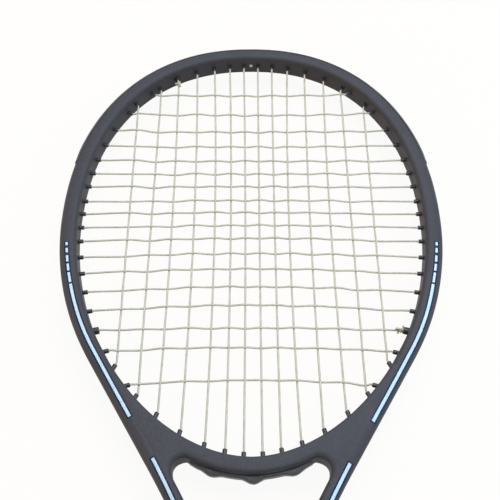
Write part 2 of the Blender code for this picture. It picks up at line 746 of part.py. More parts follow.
def link(first, second):
    if first.carrier == "bridge":
        return cornered(throat_loop(first, second), first, second)
    return cornered(groove_run(first, second), first, second)


# One string: up and down every main, then to and fro across them, tied off at both ends
def string_route(heads, throats, rights, lefts):
    run = -STRING_MOUTH_RUN
    tie, end = heads[TIE_MAIN], heads[TIE_MAIN - 2]
    route = [tie.strand(run - TIE_TAIL, True), tie.strand(0.0, True)]
    route += cornered([point + Vector((0.0, 0.0, tie.strand(0.0, True).z - end.mouth.z))
                       for point in groove_run(tie, end)], tie, end)
    count = len(heads)
    for column in range(count):
        down = column % 2 == 0
        first, second = (heads[column], throats[column]) if down else (throats[column], heads[column])
        route += [first.strand(run), second.strand(run)]
        if column + 1 < count:
            ends = throats if down else heads
            route += link(ends[column], ends[column + 1])
    route += link(heads[-1], rights[0])
    for row in range(len(CROSS_Y)):
        leftward = row % 2 == 0
        first, second = (rights[row], lefts[row]) if leftward else (lefts[row], rights[row])
        route.append(first.strand(run))
        for column in reversed(range(count)) if leftward else range(count):
            side, rank = main_place(column)
            x = MAIN_X[rank]
            y = cross_y(row, x)
            upper, lower = heads[column].strand(run), throats[column].strand(run)
            if upper.y > y > lower.y:
                level = upper.lerp(lower, (upper.y - y) / (upper.y - lower.y)).z
                rise = -WEAVE_RISE if (row + column) % 2 else WEAVE_RISE
                route.append(Vector((side * x, y, level + rise)))
        route.append(second.strand(run))
        if row + 1 < len(CROSS_Y):
            ends = lefts if leftward else rights
            route += link(ends[row], ends[row + 1])
    tie, end = rights[TIE_CROSS], rights[TIE_CROSS + 2]
    route += cornered(groove_run(end, tie, True), end, tie)
    return route + [tie.strand(0.0, True), tie.strand(run - TIE_TAIL, True)]


# Least gap between two strands, on points along the whole string
def least_string_gap(route):
    spots = []
    reached = 0.0
    for start, end in zip(route, route[1:]):
        length = (end - start).length
        count = max(1, math.ceil(length / STRING_GAP_SAMPLE))
        spots += [(start.lerp(end, k / count), reached + length * k / count) for k in range(count)]
        reached += length
    tree = kdtree.KDTree(len(spots))
    for index, (point, _) in enumerate(spots):
        tree.insert(point, index)
    tree.balance()
    apart = 6 * STRING_DIAMETER
    least = apart
    for point, along in spots:
        for _, index, distance in tree.find_range(point, 2 * STRING_DIAMETER + WEAVE_RISE):
            if abs(spots[index][1] - along) > apart:
                least = min(least, distance)
    return least - STRING_DIAMETER


def make_string(route):
    data = bpy.data.curves.new("string", "CURVE")
    data.dimensions = "3D"
    data.bevel_depth = STRING_RADIUS
    data.bevel_resolution = STRING_BEVEL_RESOLUTION
    data.use_fill_caps = True
    line = data.splines.new("POLY")
    line.points.add(len(route) - 1)
    for spot, point in zip(line.points, route):
        spot.co = (*point, 1.0)
    place("string", data, STRING_GUT)


# Knot round a strand just inside its hole
def make_knot(name, start, towards):
    axis = (towards - start).normalized()
    across = Vector((0.0, 0.0, 1.0)).cross(axis).normalized()
    up = axis.cross(across)
    from_mouth = TIE_TAIL + 2 * CLEARANCE
    profile = ((BARREL_BORE_RADIUS, 0.0), (BARREL_BORE_RADIUS, 1.0), (KNOT_END_RADIUS, 1.0),
               (KNOT_RADIUS, 1.0 - KNOT_WAIST), (KNOT_RADIUS, KNOT_WAIST), (KNOT_END_RADIUS, 0.0))
    rings = []
    for radius, share in profile:
        centre = start + axis * (from_mouth + KNOT_LENGTH * share)
        angles = [2 * math.pi * k / KNOT_SIDES for k in range(KNOT_SIDES)]
        rings.append([centre + (across * math.cos(a) + up * math.sin(a)) * radius for a in angles])
    loft(name, rings, STRING_GUT, closed=True)


# Rings of a turned shape, square to Y or Z
def turned(profile, centre, axis, sides):
    across = Vector((1.0, 0.0, 0.0))
    up = axis.cross(across)
    angles = [2 * math.pi * (k + 0.5) / sides for k in range(sides)]
    rings = []
    for radius, along in profile:
        ring = [across * (radius * math.cos(a)) + up * (radius * math.sin(a)) for a in angles]
        rings.append([centre + axis * along + point for point in ring])
    return rings


def make_vent_plug():
    inner_wall = Vector((0.0, CROWN_Y - tube_width(CROWN_Y) - CLEARANCE, 0.0))
    profile = ((PLUG_HEAD_FACE_RADIUS, -PLUG_HEAD), (PLUG_HEAD_RADIUS, -PLUG_HEAD / 2),
               (PLUG_HEAD_RADIUS, 0.0), (PLUG_RADIUS, 0.0), (PLUG_RADIUS, TUBE_WALL))
    loft("vent_plug", turned(profile, inner_wall, Vector((0.0, 1.0, 0.0)), BARREL_SIDES), PLUG_NYLON)


# Corners of the eight-sided handle, grown outwards by a distance
def octagon(grow):
    width = PALLET_HALF_WIDTH + grow
    height = PALLET_HALF_HEIGHT + grow
    corner = PALLET_CORNER + grow * (2 - math.sqrt(2))
    right = [(width, corner - height), (width, height - corner)]
    top = [(width - corner, height), (corner - width, height)]
    return right + top + [(-x, -z) for x, z in right + top]


def octagon_ring(y, grow):
    return [Vector((x, y, z)) for x, z in octagon(grow)]


# How far the butt cap flares out beyond the handle at a place along it
def flare(y):
    start = BUTT_Y + CAP_FLARE_START
    full = BUTT_Y + CAP_RIM
    return CAP_FLARE * min(1.0, max(0.0, (start - y) / (start - full)))


# Foam half of the handle: a channel for the tubes, and a step where the cap's skirt fits over it
def make_pallet(name, front):
    step_y = BUTT_Y + CAP_SKIRT_LENGTH + CLEARANCE
    sunk = -CAP_SKIRT_WALL - CLEARANCE
    channel_x = HANDLE_TUBE_X + CLEARANCE
    channel_z = HALF_BEAM + CLEARANCE
    cut = TUBE_OUTER_RADIUS * (2 - math.sqrt(2))
    rings = []
    for y, grow in ((TUBE_END_Y, sunk), (step_y, sunk), (step_y - sunk, 0.0), (HANDLE_TOP_Y, 0.0)):
        right, upper = octagon(grow)[1], octagon(grow)[2]
        part = CLEARANCE / 2
        half = [(channel_x - cut, channel_z), (channel_x, channel_z - cut), (channel_x, part),
                (right[0], part), right, upper]
        section = half + [(-x, z) for x, z in reversed(half)]
        rings.append([Vector((x, y, front * z)) for x, z in section])
    pallet = loft(name, rings, HANDLE_FOAM)
    hole = NAIL_RADIUS + CLEARANCE / math.cos(math.pi / NAIL_SIDES)
    depth = PALLET_HALF_HEIGHT - CAP_SKIRT_WALL - CLEARANCE - NAIL_LENGTH
    top = Vector((0.0, nail_y(), front * PALLET_HALF_HEIGHT))
    bottom = Vector((0.0, nail_y(), front * depth))
    combine(pallet, "DIFFERENCE", rods(name + "_nail_hole", [(bottom, top, hole)], NAIL_SIDES))


def nail_y():
    return BUTT_Y + CAP_SKIRT_LENGTH - NAIL_FROM_SKIRT_TOP


# Butt cap: a flared cup over the end of the handle
def make_butt_cap():
    inside = -CAP_SKIRT_WALL
    full = CAP_FLARE + CAP_RIM_LIP
    rings = [
        octagon_ring(BUTT_Y + CAP_END_WALL, inside),
        octagon_ring(BUTT_Y + CAP_SKIRT_LENGTH, inside),
        octagon_ring(BUTT_Y + CAP_SKIRT_LENGTH, 0.0),
        octagon_ring(BUTT_Y + CAP_FLARE_START, 0.0),
        octagon_ring(BUTT_Y + CAP_RIM, CAP_FLARE),
        octagon_ring(BUTT_Y + CAP_RIM, full),
        octagon_ring(BUTT_Y + CAP_END_INSET, full),
        octagon_ring(BUTT_Y, full - CAP_END_INSET),
    ]
    cap = loft("butt_cap", rings, CAP_PLASTIC)
    hole = NAIL_HEAD_RADIUS + CLEARANCE / math.cos(math.pi / NAIL_SIDES)
    reach = 2 * CAP_SKIRT_WALL
    cuts = []
    for front in (-1, 1):
        wall = front * PALLET_HALF_HEIGHT
        cuts.append((Vector((0.0, nail_y(), wall - reach)), Vector((0.0, nail_y(), wall + reach)), hole))
    combine(cap, "DIFFERENCE", rods("cap_nail_holes", cuts, NAIL_SIDES))


# Short nail through the skirt into the foam, its head flush under the grip
def make_nail(name, front):
    centre = Vector((0.0, nail_y(), front * (PALLET_HALF_HEIGHT - CAP_SKIRT_WALL)))
    profile = ((NAIL_RADIUS, CLEARANCE - NAIL_LENGTH), (NAIL_RADIUS, 0.0), (NAIL_HEAD_RADIUS, 0.0),
               (NAIL_HEAD_RADIUS, NAIL_HEAD))
    loft(name, turned(profile, centre, Vector((0.0, 0.0, front)), NAIL_SIDES), NAIL_STEEL)


# Grip: one strip wound round the handle, cut square to it at both ends
def make_grip_wrap():
    bottom = BUTT_Y + CAP_RIM + CLEARANCE
    top = HANDLE_TOP_Y - GRIP_BELOW_TOP
    corners = octagon(0.0)
    lengths = []
    for k in range(len(corners)):
        ahead = corners[(k + 1) % len(corners)]
        lengths.append(math.dist(corners[k], ahead))
    around = sum(lengths)
    rings = []
    edges = []
    turned_by = 0.0
    corner = 0
    while True:
        climbed = GRIP_PITCH * turned_by / around
        upper = min(top, bottom + climbed - GRIP_GAP / 2)
        lower = max(bottom, bottom + climbed - GRIP_PITCH + GRIP_GAP / 2)
        if lower > top - GRIP_STRIP_END:
            break
        if upper > bottom + GRIP_STRIP_END:
            ring = []
            for y, out in ((lower, 0.0), (lower, GRIP_THICKNESS), (upper, GRIP_THICKNESS), (upper, 0.0)):
                x, z = octagon(flare(y) + CLEARANCE + out)[corner]
                ring.append(Vector((x, y, z)))
            rings.append(ring)
            edges.append((turned_by, ring[0], ring[3]))
        turned_by += lengths[corner]
        corner = (corner + 1) % len(corners)
    loft("grip_wrap", rings, GRIP_LEATHER)
    least = GRIP_PITCH
    for along, _, upper_edge in edges:
        for later, lower_edge, _ in edges:
            if abs(later - along - around) < 1e-6:
                least = min(least, (lower_edge - upper_edge).length)
    return least


def make_finishing_tape():
    top = HANDLE_TOP_Y - GRIP_BELOW_TOP
    inner = CLEARANCE + GRIP_THICKNESS + CLEARANCE
    outer = inner + TAPE_THICKNESS
    low = top - TAPE_LENGTH
    rings = [octagon_ring(low, inner), octagon_ring(top, inner),
             octagon_ring(top, outer), octagon_ring(low, outer)]
    loft("finishing_tape", rings, TAPE_VINYL, closed=True)


# Rubber collar over the top of the grip, free to be pushed up the shafts
def make_grip_collar():
    inner = 3 * CLEARANCE + GRIP_THICKNESS + TAPE_THICKNESS
    outer = inner + COLLAR_WALL
    high = HANDLE_TOP_Y + COLLAR_PAST_HANDLE
    low = high - COLLAR_LENGTH
    ease = COLLAR_WALL / 2
    rings = [octagon_ring(low, inner), octagon_ring(high, inner),
             octagon_ring(high, outer - ease), octagon_ring(high - ease, outer),
             octagon_ring(low + ease, outer), octagon_ring(low, outer - ease)]
    loft("grip_collar", rings, COLLAR_RUBBER, closed=True)


for leftover in list(bpy.data.objects):
    bpy.data.objects.remove(leftover)
RACKET = bpy.data.objects.new("racket", None)
RACKET.location = (0.0, 0.0, PLANE_Z)
bpy.context.collection.objects.link(RACKET)

HEADS, THROATS, RIGHTS, LEFTS = string_holes()
HOLES = HEADS + THROATS + RIGHTS + LEFTS
ROUTE = string_route(HEADS, THROATS, RIGHTS, LEFTS)
make_frame_tube(HOLES)
make_throat_bridge(HOLES)
make_bumper_guard(HOLES)
make_side_strip("grommet_strip_left", -1, HOLES)
make_side_strip("grommet_strip_right", 1, HOLES)
make_throat_strip(HOLES)
make_string(ROUTE)
MAIN_STRAND = HEADS[TIE_MAIN].strand(-STRING_MOUTH_RUN)
CROSS_STRAND = RIGHTS[TIE_CROSS].strand(-STRING_MOUTH_RUN)
make_knot("knot_main", MAIN_STRAND, THROATS[TIE_MAIN].strand(-STRING_MOUTH_RUN))
make_knot("knot_cross", CROSS_STRAND, ROUTE[ROUTE.index(CROSS_STRAND) - 1])
make_vent_plug()
make_pallet("handle_pallet_front", 1)
make_pallet("handle_pallet_back", -1)
make_butt_cap()
make_nail("butt_cap_nail_front", 1)
make_nail("butt_cap_nail_back", -1)
GRIP_SELF_GAP = make_grip_wrap()
make_finishing_tape()
make_grip_collar()
print("least gap in the string bed: %.2f mm" % (least_string_gap(ROUTE) / MM))
print("least gap between turns of the grip: %.2f mm" % (GRIP_SELF_GAP / MM))
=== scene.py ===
import math
import random

import bmesh
import bpy
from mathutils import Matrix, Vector


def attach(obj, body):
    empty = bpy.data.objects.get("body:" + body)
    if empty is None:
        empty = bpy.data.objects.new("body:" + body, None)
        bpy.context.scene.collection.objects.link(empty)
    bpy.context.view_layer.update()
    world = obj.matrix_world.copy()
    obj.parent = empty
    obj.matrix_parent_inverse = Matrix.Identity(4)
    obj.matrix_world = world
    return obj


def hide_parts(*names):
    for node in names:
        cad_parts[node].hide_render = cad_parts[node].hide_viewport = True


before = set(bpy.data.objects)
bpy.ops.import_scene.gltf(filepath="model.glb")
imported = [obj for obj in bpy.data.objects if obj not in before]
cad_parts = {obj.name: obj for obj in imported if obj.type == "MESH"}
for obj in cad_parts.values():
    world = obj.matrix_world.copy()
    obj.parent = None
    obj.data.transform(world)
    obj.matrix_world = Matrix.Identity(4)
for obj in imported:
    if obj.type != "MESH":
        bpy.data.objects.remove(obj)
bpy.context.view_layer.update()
print("frame loaded:", len(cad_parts), "nodes")

# Camera at the photograph's angle
photoView = dict(lens=54.76, sensor=36.0, x=-0.00075, y=-0.1183, height=0.4635, tilt=30.42)

# Outline and section of the tube
hoop = dict(
    planeZ=0.0194,
    halfBeam=0.009,
    crownY=0.3414,
    halfWidth=0.1359,
    widestY=0.178,
    crownPower=2.2,
    shoulderDepth=0.172,
    shoulderSlope=0.6185,
    bendY=0.002,
    handleTopY=-0.145,
    handleX=0.0105,
    endY=-0.3396,
    headWidth=0.0123,
    crownWidth=0.0116,
    crownFade=(0.26, 0.335),
    shaftWidth=0.0102,
    widthFade=(0.02, 0.14),
    faceRadius=0.006,
    innerRadius=0.0030,
    grooveDepth=0.0024,
    grooveHalf=0.003,
    grooveFade=(-0.045, -0.022),
    lip=0.00018,
    leastLip=0.000001,
    grooveEase=0.0001,
    wallRows=(0.0025, 0.005),
    innerSteps=5,
    faceSteps=9,
    faceEnd=5,
    fine=400,
    step=0.0026,
    handleStep=0.020,
    normalReach=0.0015,
    leastReach=0.00001,
    atCrown=0.000001,
)


def smoothStep(low, high, value):
    t = min(1.0, max(0.0, (value - low) / (high - low)))
    return t * t * (3 - 2 * t)


def mixed(first, second, share):
    return first + (second - first) * share


def tubeWidth(y):
    width = mixed(hoop["shaftWidth"], hoop["headWidth"], smoothStep(*hoop["widthFade"], y))
    return width + (hoop["crownWidth"] - hoop["headWidth"]) * smoothStep(*hoop["crownFade"], y)


def grooveDepth(y):
    return hoop["grooveDepth"] * smoothStep(*hoop["grooveFade"], y)


# Right half of the outline, from the crown to the tube's end in the handle
def outlineRight():
    fine, halfWidth, widestY = hoop["fine"], hoop["halfWidth"], hoop["widestY"]
    bow = 2 / hoop["crownPower"]
    points = []
    for k in range(fine):
        t = math.pi / 2 * (1 - k / fine)
        x = halfWidth * max(math.cos(t), 0.0) ** bow
        points.append(Vector((x, mixed(widestY, hoop["crownY"], math.sin(t) ** bow))))
    slope = hoop["shoulderSlope"]
    turn = math.atan(slope * hoop["shoulderDepth"] / halfWidth)
    for k in range(fine + 1):
        t = turn * k / fine
        points.append(Vector((halfWidth * math.cos(t), widestY - hoop["shoulderDepth"] * math.sin(t))))
    bendX = points[-1].x - slope * (points[-1].y - hoop["bendY"])
    run = hoop["bendY"] - hoop["handleTopY"]
    for k in range(fine + 1):
        t = k / fine
        begin = 1 - 3 * t * t + 2 * t ** 3
        x = bendX * begin + hoop["handleX"] * (1 - begin) - slope * run * (t - 2 * t * t + t ** 3)
        points.append(Vector((x, hoop["bendY"] - run * t)))
    points.append(Vector((hoop["handleX"], hoop["endY"])))
    return points


outline = outlineRight()
reached = [0.0]
for before, after in zip(outline, outline[1:]):
    reached.append(reached[-1] + (after - before).length)
fullReach = reached[-1]


def pointAt(distance):
    low, high = 0, len(reached) - 2
    while low < high:
        middle = (low + high + 1) // 2
        if reached[middle] <= distance:
            low = middle
        else:
            high = middle - 1
    share = (distance - reached[low]) / (reached[low + 1] - reached[low])
    return outline[low].lerp(outline[low + 1], share)


def normalAt(distance):
    if distance < hoop["atCrown"]:
        return Vector((0.0, 1.0))
    reach = min(hoop["normalReach"], distance, max(hoop["leastReach"], fullReach - distance))
    way = (pointAt(min(fullReach, distance + reach)) - pointAt(distance - reach)).normalized()
    return Vector((-way.y, way.x))


# Distance along the outline at which a measure falls to a value
def distanceWhere(measure, value, start, end, steps=900):
    last = None
    for k in range(steps + 1):
        distance = start + (end - start) * k / steps
        found = measure(distance) - value
        if last and last[1] * found <= 0 and last[1] != found:
            return last[0] + (distance - last[0]) * last[1] / (last[1] - found)
        last = distance, found
    return end


def outlineY(distance):
    return pointAt(distance).y


widestAt = reached[hoop["fine"]]
bendAt = distanceWhere(outlineY, hoop["bendY"], widestAt, fullReach)
handleAt = distanceWhere(outlineY, hoop["handleTopY"], bendAt, fullReach)


# Point of the frame: along the outline, out from it, and up from the string plane
def framePoint(distance, side, out, up):
    flat = pointAt(distance) + normalAt(distance) * out
    return Vector((side * flat.x, flat.y, hoop["planeZ"] + up))


# A section of the frame as a ring of points
def frameRing(distance, side, section):
    return [framePoint(distance, side, out, up) for out, up in section]


# Places from one end of a run over the crown to the other
def bothSides(distances):
    return [(d, -1) for d in reversed(distances[1:])] + [(d, 1) for d in distances]


def evenPlaces(start, end, step):
    count = max(1, math.ceil((end - start) / step))
    return [start + (end - start) * k / count for k in range(count + 1)]


weldReach = 0.0000001


# Rings of points made into one closed skin
def skin(build, rings, closedRun=False):
    made = [[build.verts.new(point) for point in ring] for ring in rings]
    pairs = list(zip(made, made[1:]))
    if closedRun:
        pairs.append((made[-1], made[0]))
    count = len(made[0])
    for lower, upper in pairs:
        for k in range(count):
            after = (k + 1) % count
            build.faces.new((lower[k], lower[after], upper[after], upper[k]))
    if not closedRun:
        build.faces.new(list(reversed(made[0])))
        build.faces.new(made[-1])


def skinned(*ringSets, closedRun=False):
    build = bmesh.new()
    for rings in ringSets:
        skin(build, rings, closedRun)
    bmesh.ops.remove_doubles(build, verts=build.verts, dist=weldReach)
    bmesh.ops.recalc_face_normals(build, faces=build.faces)
    return build


def meshFrom(name, build):
    mesh = bpy.data.meshes.new(name)
    build.to_mesh(mesh)
    build.free()
    return mesh


# A finished piece: smooth, sharp only at real edges, riding on its body
def addPiece(name, mesh, material, finish=None, replaced=(), body="racket", sharp=38.0):
    mesh.shade_smooth()
    mesh.set_sharp_from_angle(angle=math.radians(sharp))
    mesh.materials.clear()
    mesh.materials.append(material)
    piece = bpy.data.objects.new(name, mesh)
    bpy.context.scene.collection.objects.link(piece)
    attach(piece, body)
    if replaced:
        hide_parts(*replaced)


# A piece skinned over one run of rings
def addRings(name, rings, *looks, closedRun=False, **rest):
    addPiece(name, meshFrom(name, skinned(rings, closedRun=closedRun)), *looks, **rest)


# A node with its settings, and each input set or linked
def addNode(tree, kind, inputs=(), **settings):
    node = tree.nodes.new(kind)
    for label, value in settings.items():
        setattr(node, label, value)
    for label, value in dict(inputs).items():
        if isinstance(value, bpy.types.NodeSocket):
            tree.links.new(value, node.inputs[label])
        else:
            node.inputs[label].default_value = value
    return node


# Materials

def newMaterial(name, colour, roughness, metallic=0.0, coat=0.0, coatRoughness=0.2, specular=0.5):
    material = bpy.data.materials.new(name)
    material.use_nodes = True
    looks = {"Base Color": (*colour, 1.0), "Roughness": roughness, "Metallic": metallic, "Coat Weight": coat,
             "Coat Roughness": coatRoughness, "Specular IOR Level": specular}
    for label, value in looks.items():
        material.node_tree.nodes["Principled BSDF"].inputs[label].default_value = value
    return material


# Links a value to an input of the material's shader
def feed(material, label, value):
    tree = material.node_tree
    tree.links.new(value, tree.nodes["Principled BSDF"].inputs[label])


# Noise on the piece's own coordinates, from 0 to 1
def grain(material, scale, detail=3.0, stretch=(1.0, 1.0, 1.0), contrast=(0.35, 0.65)):
    tree = material.node_tree
    place = addNode(tree, "ShaderNodeTexCoord").outputs["Object"]
    mapped = addNode(tree, "ShaderNodeMapping", {"Vector": place, "Scale": stretch}).outputs["Vector"]
    noise = addNode(tree, "ShaderNodeTexNoise", {"Vector": mapped, "Scale": scale, "Detail": detail})
    low, high = contrast
    spread = {"Value": noise.outputs["Fac"], "From Min": low, "From Max": high}
    return addNode(tree, "ShaderNodeMapRange", spread).outputs["Result"]


# Small cells on the piece's own coordinates
def cells(material, scale, feature="F1"):
    tree = material.node_tree
    place = addNode(tree, "ShaderNodeTexCoord").outputs["Object"]
    found = addNode(tree, "ShaderNodeTexVoronoi", {"Vector": place, "Scale": scale}, feature=feature)
    return found.outputs["Distance"]


def tint(material, amount, low, high):
    ramp = addNode(material.node_tree, "ShaderNodeValToRGB", {"Fac": amount})
    ramp.color_ramp.elements[0].color = (*low, 1.0)
    ramp.color_ramp.elements[1].color = (*high, 1.0)
    feed(material, "Base Color", ramp.outputs["Color"])


def polish(material, amount, low, high):
    spread = {"Value": amount, "To Min": low, "To Max": high}
    feed(material, "Roughness", addNode(material.node_tree, "ShaderNodeMapRange", spread).outputs["Result"])


def relief(material, amount, strength, depth):
    bump = {"Height": amount, "Strength": strength, "Distance": depth}
    feed(material, "Normal", addNode(material.node_tree, "ShaderNodeBump", bump).outputs["Normal"])


def graphitePaint():
    paint = newMaterial("graphitePaint", (0.03, 0.03, 0.034), roughness=0.55, coat=0.04, coatRoughness=0.30,
                        specular=0.14)
    speckle = grain(paint, scale=1600.0, detail=2.0, contrast=(0.25, 0.75))
    tint(paint, speckle, low=(0.042, 0.0395, 0.043), high=(0.068, 0.064, 0.073))
    polish(paint, grain(paint, scale=60.0, detail=4.0), low=0.50, high=0.62)
    relief(paint, grain(paint, scale=900.0, detail=2.0), strength=0.06, depth=0.0002)
    return paint


def mouldedNylon(name, low, high, rough, specular=0.30):
    nylon = newMaterial(name, high, rough, specular=specular)
    tint(nylon, grain(nylon, scale=140.0, detail=5.0), low, high)
    polish(nylon, grain(nylon, scale=320.0, detail=3.0), low=rough - 0.03, high=rough + 0.04)
    relief(nylon, grain(nylon, scale=700.0, detail=3.0), strength=0.06, depth=0.0002)
    return nylon


def scuffedNylon():
    nylon = newMaterial("scuffedNylon", (0.03, 0.03, 0.033), roughness=0.55)
    scuffs = grain(nylon, scale=90.0, detail=6.0, stretch=(1.0, 1.0, 4.0), contrast=(0.48, 0.74))
    tint(nylon, scuffs, low=(0.028, 0.028, 0.031), high=(0.085, 0.083, 0.082))
    polish(nylon, scuffs, low=0.48, high=0.72)
    relief(nylon, scuffs, strength=0.25, depth=0.0003)
    return nylon


def stripePaint(name, low, high, coat, specular):
    paint = newMaterial(name, high, roughness=0.38, coat=coat, coatRoughness=0.3, specular=specular)
    tint(paint, grain(paint, scale=260.0, detail=3.0), low, high)
    polish(paint, grain(paint, scale=90.0, detail=3.0), low=0.34, high=0.46)
    return paint


# String: fine fibres wound along its length, from the run stored on the mesh
def stringGut():
    gut = newMaterial("stringGut", (0.50, 0.46, 0.36), roughness=0.42)
    tree = gut.node_tree
    run = addNode(tree, "ShaderNodeAttribute", attribute_name="run").outputs["Fac"]
    wear = addNode(tree, "ShaderNodeTexNoise", {"W": run, "Scale": 130.0, "Detail": 4.0},
                   noise_dimensions="1D")
    tint(gut, wear.outputs["Fac"], low=(0.43, 0.387, 0.294), high=(0.65, 0.597, 0.465))
    fibre = addNode(tree, "ShaderNodeTexNoise", {"W": run, "Scale": 2600.0}, noise_dimensions="1D")
    polish(gut, fibre.outputs["Fac"], low=0.34, high=0.52)
    relief(gut, fibre.outputs["Fac"], strength=0.12, depth=0.0001)
    return gut


def gripLeather():
    leather = newMaterial("gripLeather", (0.035, 0.032, 0.030), roughness=0.62)
    relief(leather, cells(leather, scale=620.0, feature="SMOOTH_F1"), strength=0.35, depth=0.0005)
    blotches = grain(leather, scale=55.0, detail=5.0)
    tint(leather, blotches, low=(0.022, 0.020, 0.019), high=(0.052, 0.047, 0.044))
    polish(leather, grain(leather, scale=80.0, detail=4.0), low=0.50, high=0.72)
    return leather


def brushedSteel():
    steel = newMaterial("nailSteel", (0.55, 0.55, 0.56), roughness=0.35, metallic=1.0)
    streaks = grain(steel, scale=500.0, detail=3.0, stretch=(1.0, 8.0, 1.0))
    tint(steel, streaks, low=(0.48, 0.48, 0.49), high=(0.60, 0.60, 0.61))
    polish(steel, grain(steel, scale=700.0, detail=2.0, stretch=(1.0, 10.0, 1.0)), low=0.28, high=0.45)
    return steel


def handleFoam():
    foam = newMaterial("handleFoam", (0.62, 0.52, 0.34), roughness=0.85)
    relief(foam, cells(foam, scale=1100.0), strength=0.5, depth=0.0004)
    tint(foam, grain(foam, scale=90.0, detail=4.0), low=(0.54, 0.44, 0.28), high=(0.66, 0.56, 0.38))
    return foam


paintGraphite = graphitePaint()
paintStripe = stripePaint("stripePaint", (0.495, 0.625, 0.73), (0.585, 0.705, 0.80), coat=0.25, specular=0.5)
paintStripeEdge = stripePaint("stripeEdgePaint", (0.004, 0.014, 0.032), (0.006, 0.021, 0.044), coat=0.0,
                              specular=0.14)
nylonStrip = mouldedNylon("stripNylon", (0.023, 0.022, 0.022), (0.030, 0.029, 0.029), rough=0.34,
                          specular=0.40)
nylonBumper = scuffedNylon()
nylonPlug = mouldedNylon("plugNylon", (0.44, 0.43, 0.41), (0.58, 0.57, 0.55), rough=0.45)
gutString = stringGut()
leatherGrip = gripLeather()
plasticCap = mouldedNylon("capPlastic", (0.020, 0.020, 0.022), (0.032, 0.032, 0.035), rough=0.42)
vinylTape = mouldedNylon("tapeVinyl", (0.015, 0.015, 0.017), (0.026, 0.026, 0.029), rough=0.38)
rubberCollar = mouldedNylon("collarRubber", (0.018, 0.018, 0.019), (0.034, 0.034, 0.036), rough=0.70)
print("materials made")


# Frame tube

def arc(centreOut, centreUp, radius, fromDeg, toDeg, steps):
    points = []
    for k in range(steps + 1):
        angle = math.radians(fromDeg + (toDeg - fromDeg) * k / steps)
        points.append((centreOut + radius * math.cos(angle), centreUp + radius * math.sin(angle)))
    return points


def tubeSection(distance):
    y = outlineY(distance)
    width, halfBeam = tubeWidth(y), hoop["halfBeam"]
    soft, radius, deep = hoop["innerRadius"], hoop["faceRadius"], grooveDepth(y)
    lip = min(hoop["lip"], deep / 3 + hoop["leastLip"])
    half = [(-width, up) for up in hoop["wallRows"]]
    half += arc(soft - width, halfBeam - soft, soft, 180, 90, hoop["innerSteps"])
    half += arc(-radius, halfBeam - radius, radius, 90, hoop["faceEnd"], hoop["faceSteps"])
    rim, ease = hoop["grooveHalf"], hoop["grooveEase"]
    half += [(-lip, rim + ease), (-max(deep, 2 * lip), rim - ease)]
    return half + [(out, -up) for out, up in reversed(half)]


def makeFrameTube():
    places = evenPlaces(0.0, handleAt, hoop["step"])
    places += evenPlaces(handleAt, fullReach, hoop["handleStep"])[1:]
    rings = [frameRing(distance, side, tubeSection(distance)) for distance, side in bothSides(places)]
    addRings("frameTube", rings, paintGraphite, "graphite", ["frame_tube"])


# Bridge at the throat, its sides sunk in the tube so that the faces run on
bridge = dict(
    innerHalfWidth=0.1241,
    innerDepth=0.1722,
    power=1.88,
    width=0.0100,
    halfThickness=0.008999,
    sunk=0.0052,
    tipY=0.066,
    lowerSpan=0.0355,
    cornerY=0.0035,
    endY=-0.0105,
    edge=0.0017,
    lowerMiddleEdge=0.0026,
    lowerEdge=0.0036,
    lowerEdgeFrom=0.016,
    filletSunk=0.0004,
    filletBlend=0.6,
    filletSteps=12,
    steps=48,
    sideSteps=12,
    edgeSteps=5,
    overTube=80,
    depthStep=0.0001,
    slopeStep=0.00005,
    halvings=60,
)


def bridgeInnerY(x):
    share = min(1.0, abs(x) / bridge["innerHalfWidth"])
    return hoop["widestY"] - bridge["innerDepth"] * (1 - share ** bridge["power"]) ** (1 / bridge["power"])


def bridgeOutward(x):
    small = bridge["slopeStep"]
    slope = (bridgeInnerY(abs(x) + small) - bridgeInnerY(max(0.0, abs(x) - small))) / (2 * small)
    return Vector((slope, -1.0)).normalized() if x else Vector((0.0, -1.0))


# Flat edge of the bridge as a run of points with a rounding size for each
def bridgeRim():
    def tubeInner(distance, out):
        return pointAt(distance) - normalAt(distance) * (tubeWidth(outlineY(distance)) - out)

    def innerAt(y):
        return distanceWhere(lambda d: tubeInner(d, 0.0).y, y, widestAt, handleAt)

    steps = bridge["steps"]
    share = 1 - ((hoop["widestY"] - bridge["tipY"]) / bridge["innerDepth"]) ** bridge["power"]
    tipX = bridge["innerHalfWidth"] * share ** (1 / bridge["power"])
    across = [tipX * k / steps for k in range(steps + 1)]
    upper = [(Vector((x, bridgeInnerY(x))), bridge["edge"]) for x in across]
    tipAt, endAt = innerAt(bridge["tipY"]), innerAt(bridge["endY"])
    outer, sideSteps = [], bridge["sideSteps"]
    for k in range(sideSteps + 1):
        outer.append((tubeInner(tipAt + (endAt - tipAt) * k / sideSteps, bridge["sunk"]), bridge["edge"]))
    span = bridge["lowerSpan"]
    lower = []
    for k in range(steps // 2 + 1):
        x = span * k / (steps // 2)
        share = smoothStep(bridge["lowerEdgeFrom"], span, x)
        rounding = mixed(bridge["lowerMiddleEdge"], bridge["lowerEdge"], share)
        lower.append((Vector((x, bridgeInnerY(x))) + bridgeOutward(x) * bridge["width"], rounding))
    corner = tubeInner(innerAt(bridge["cornerY"]), 0.0)
    last = tubeInner(endAt, bridge["filletSunk"])
    fillet = []
    for k in range(1, bridge["filletSteps"] + 1):
        t = k / bridge["filletSteps"]
        point = lower[-1][0] * (1 - t) ** 2 + corner * (2 * t * (1 - t)) + last * t * t
        share = smoothStep(bridge["filletBlend"], 1.0, t)
        fillet.append((point, bridge["lowerEdge"] * (1 - share) + bridge["edge"] * share))
    right = upper + outer + fillet[::-1] + lower[::-1]
    return right + [(Vector((-point.x, point.y)), rounding) for point, rounding in right[-2:0:-1]]


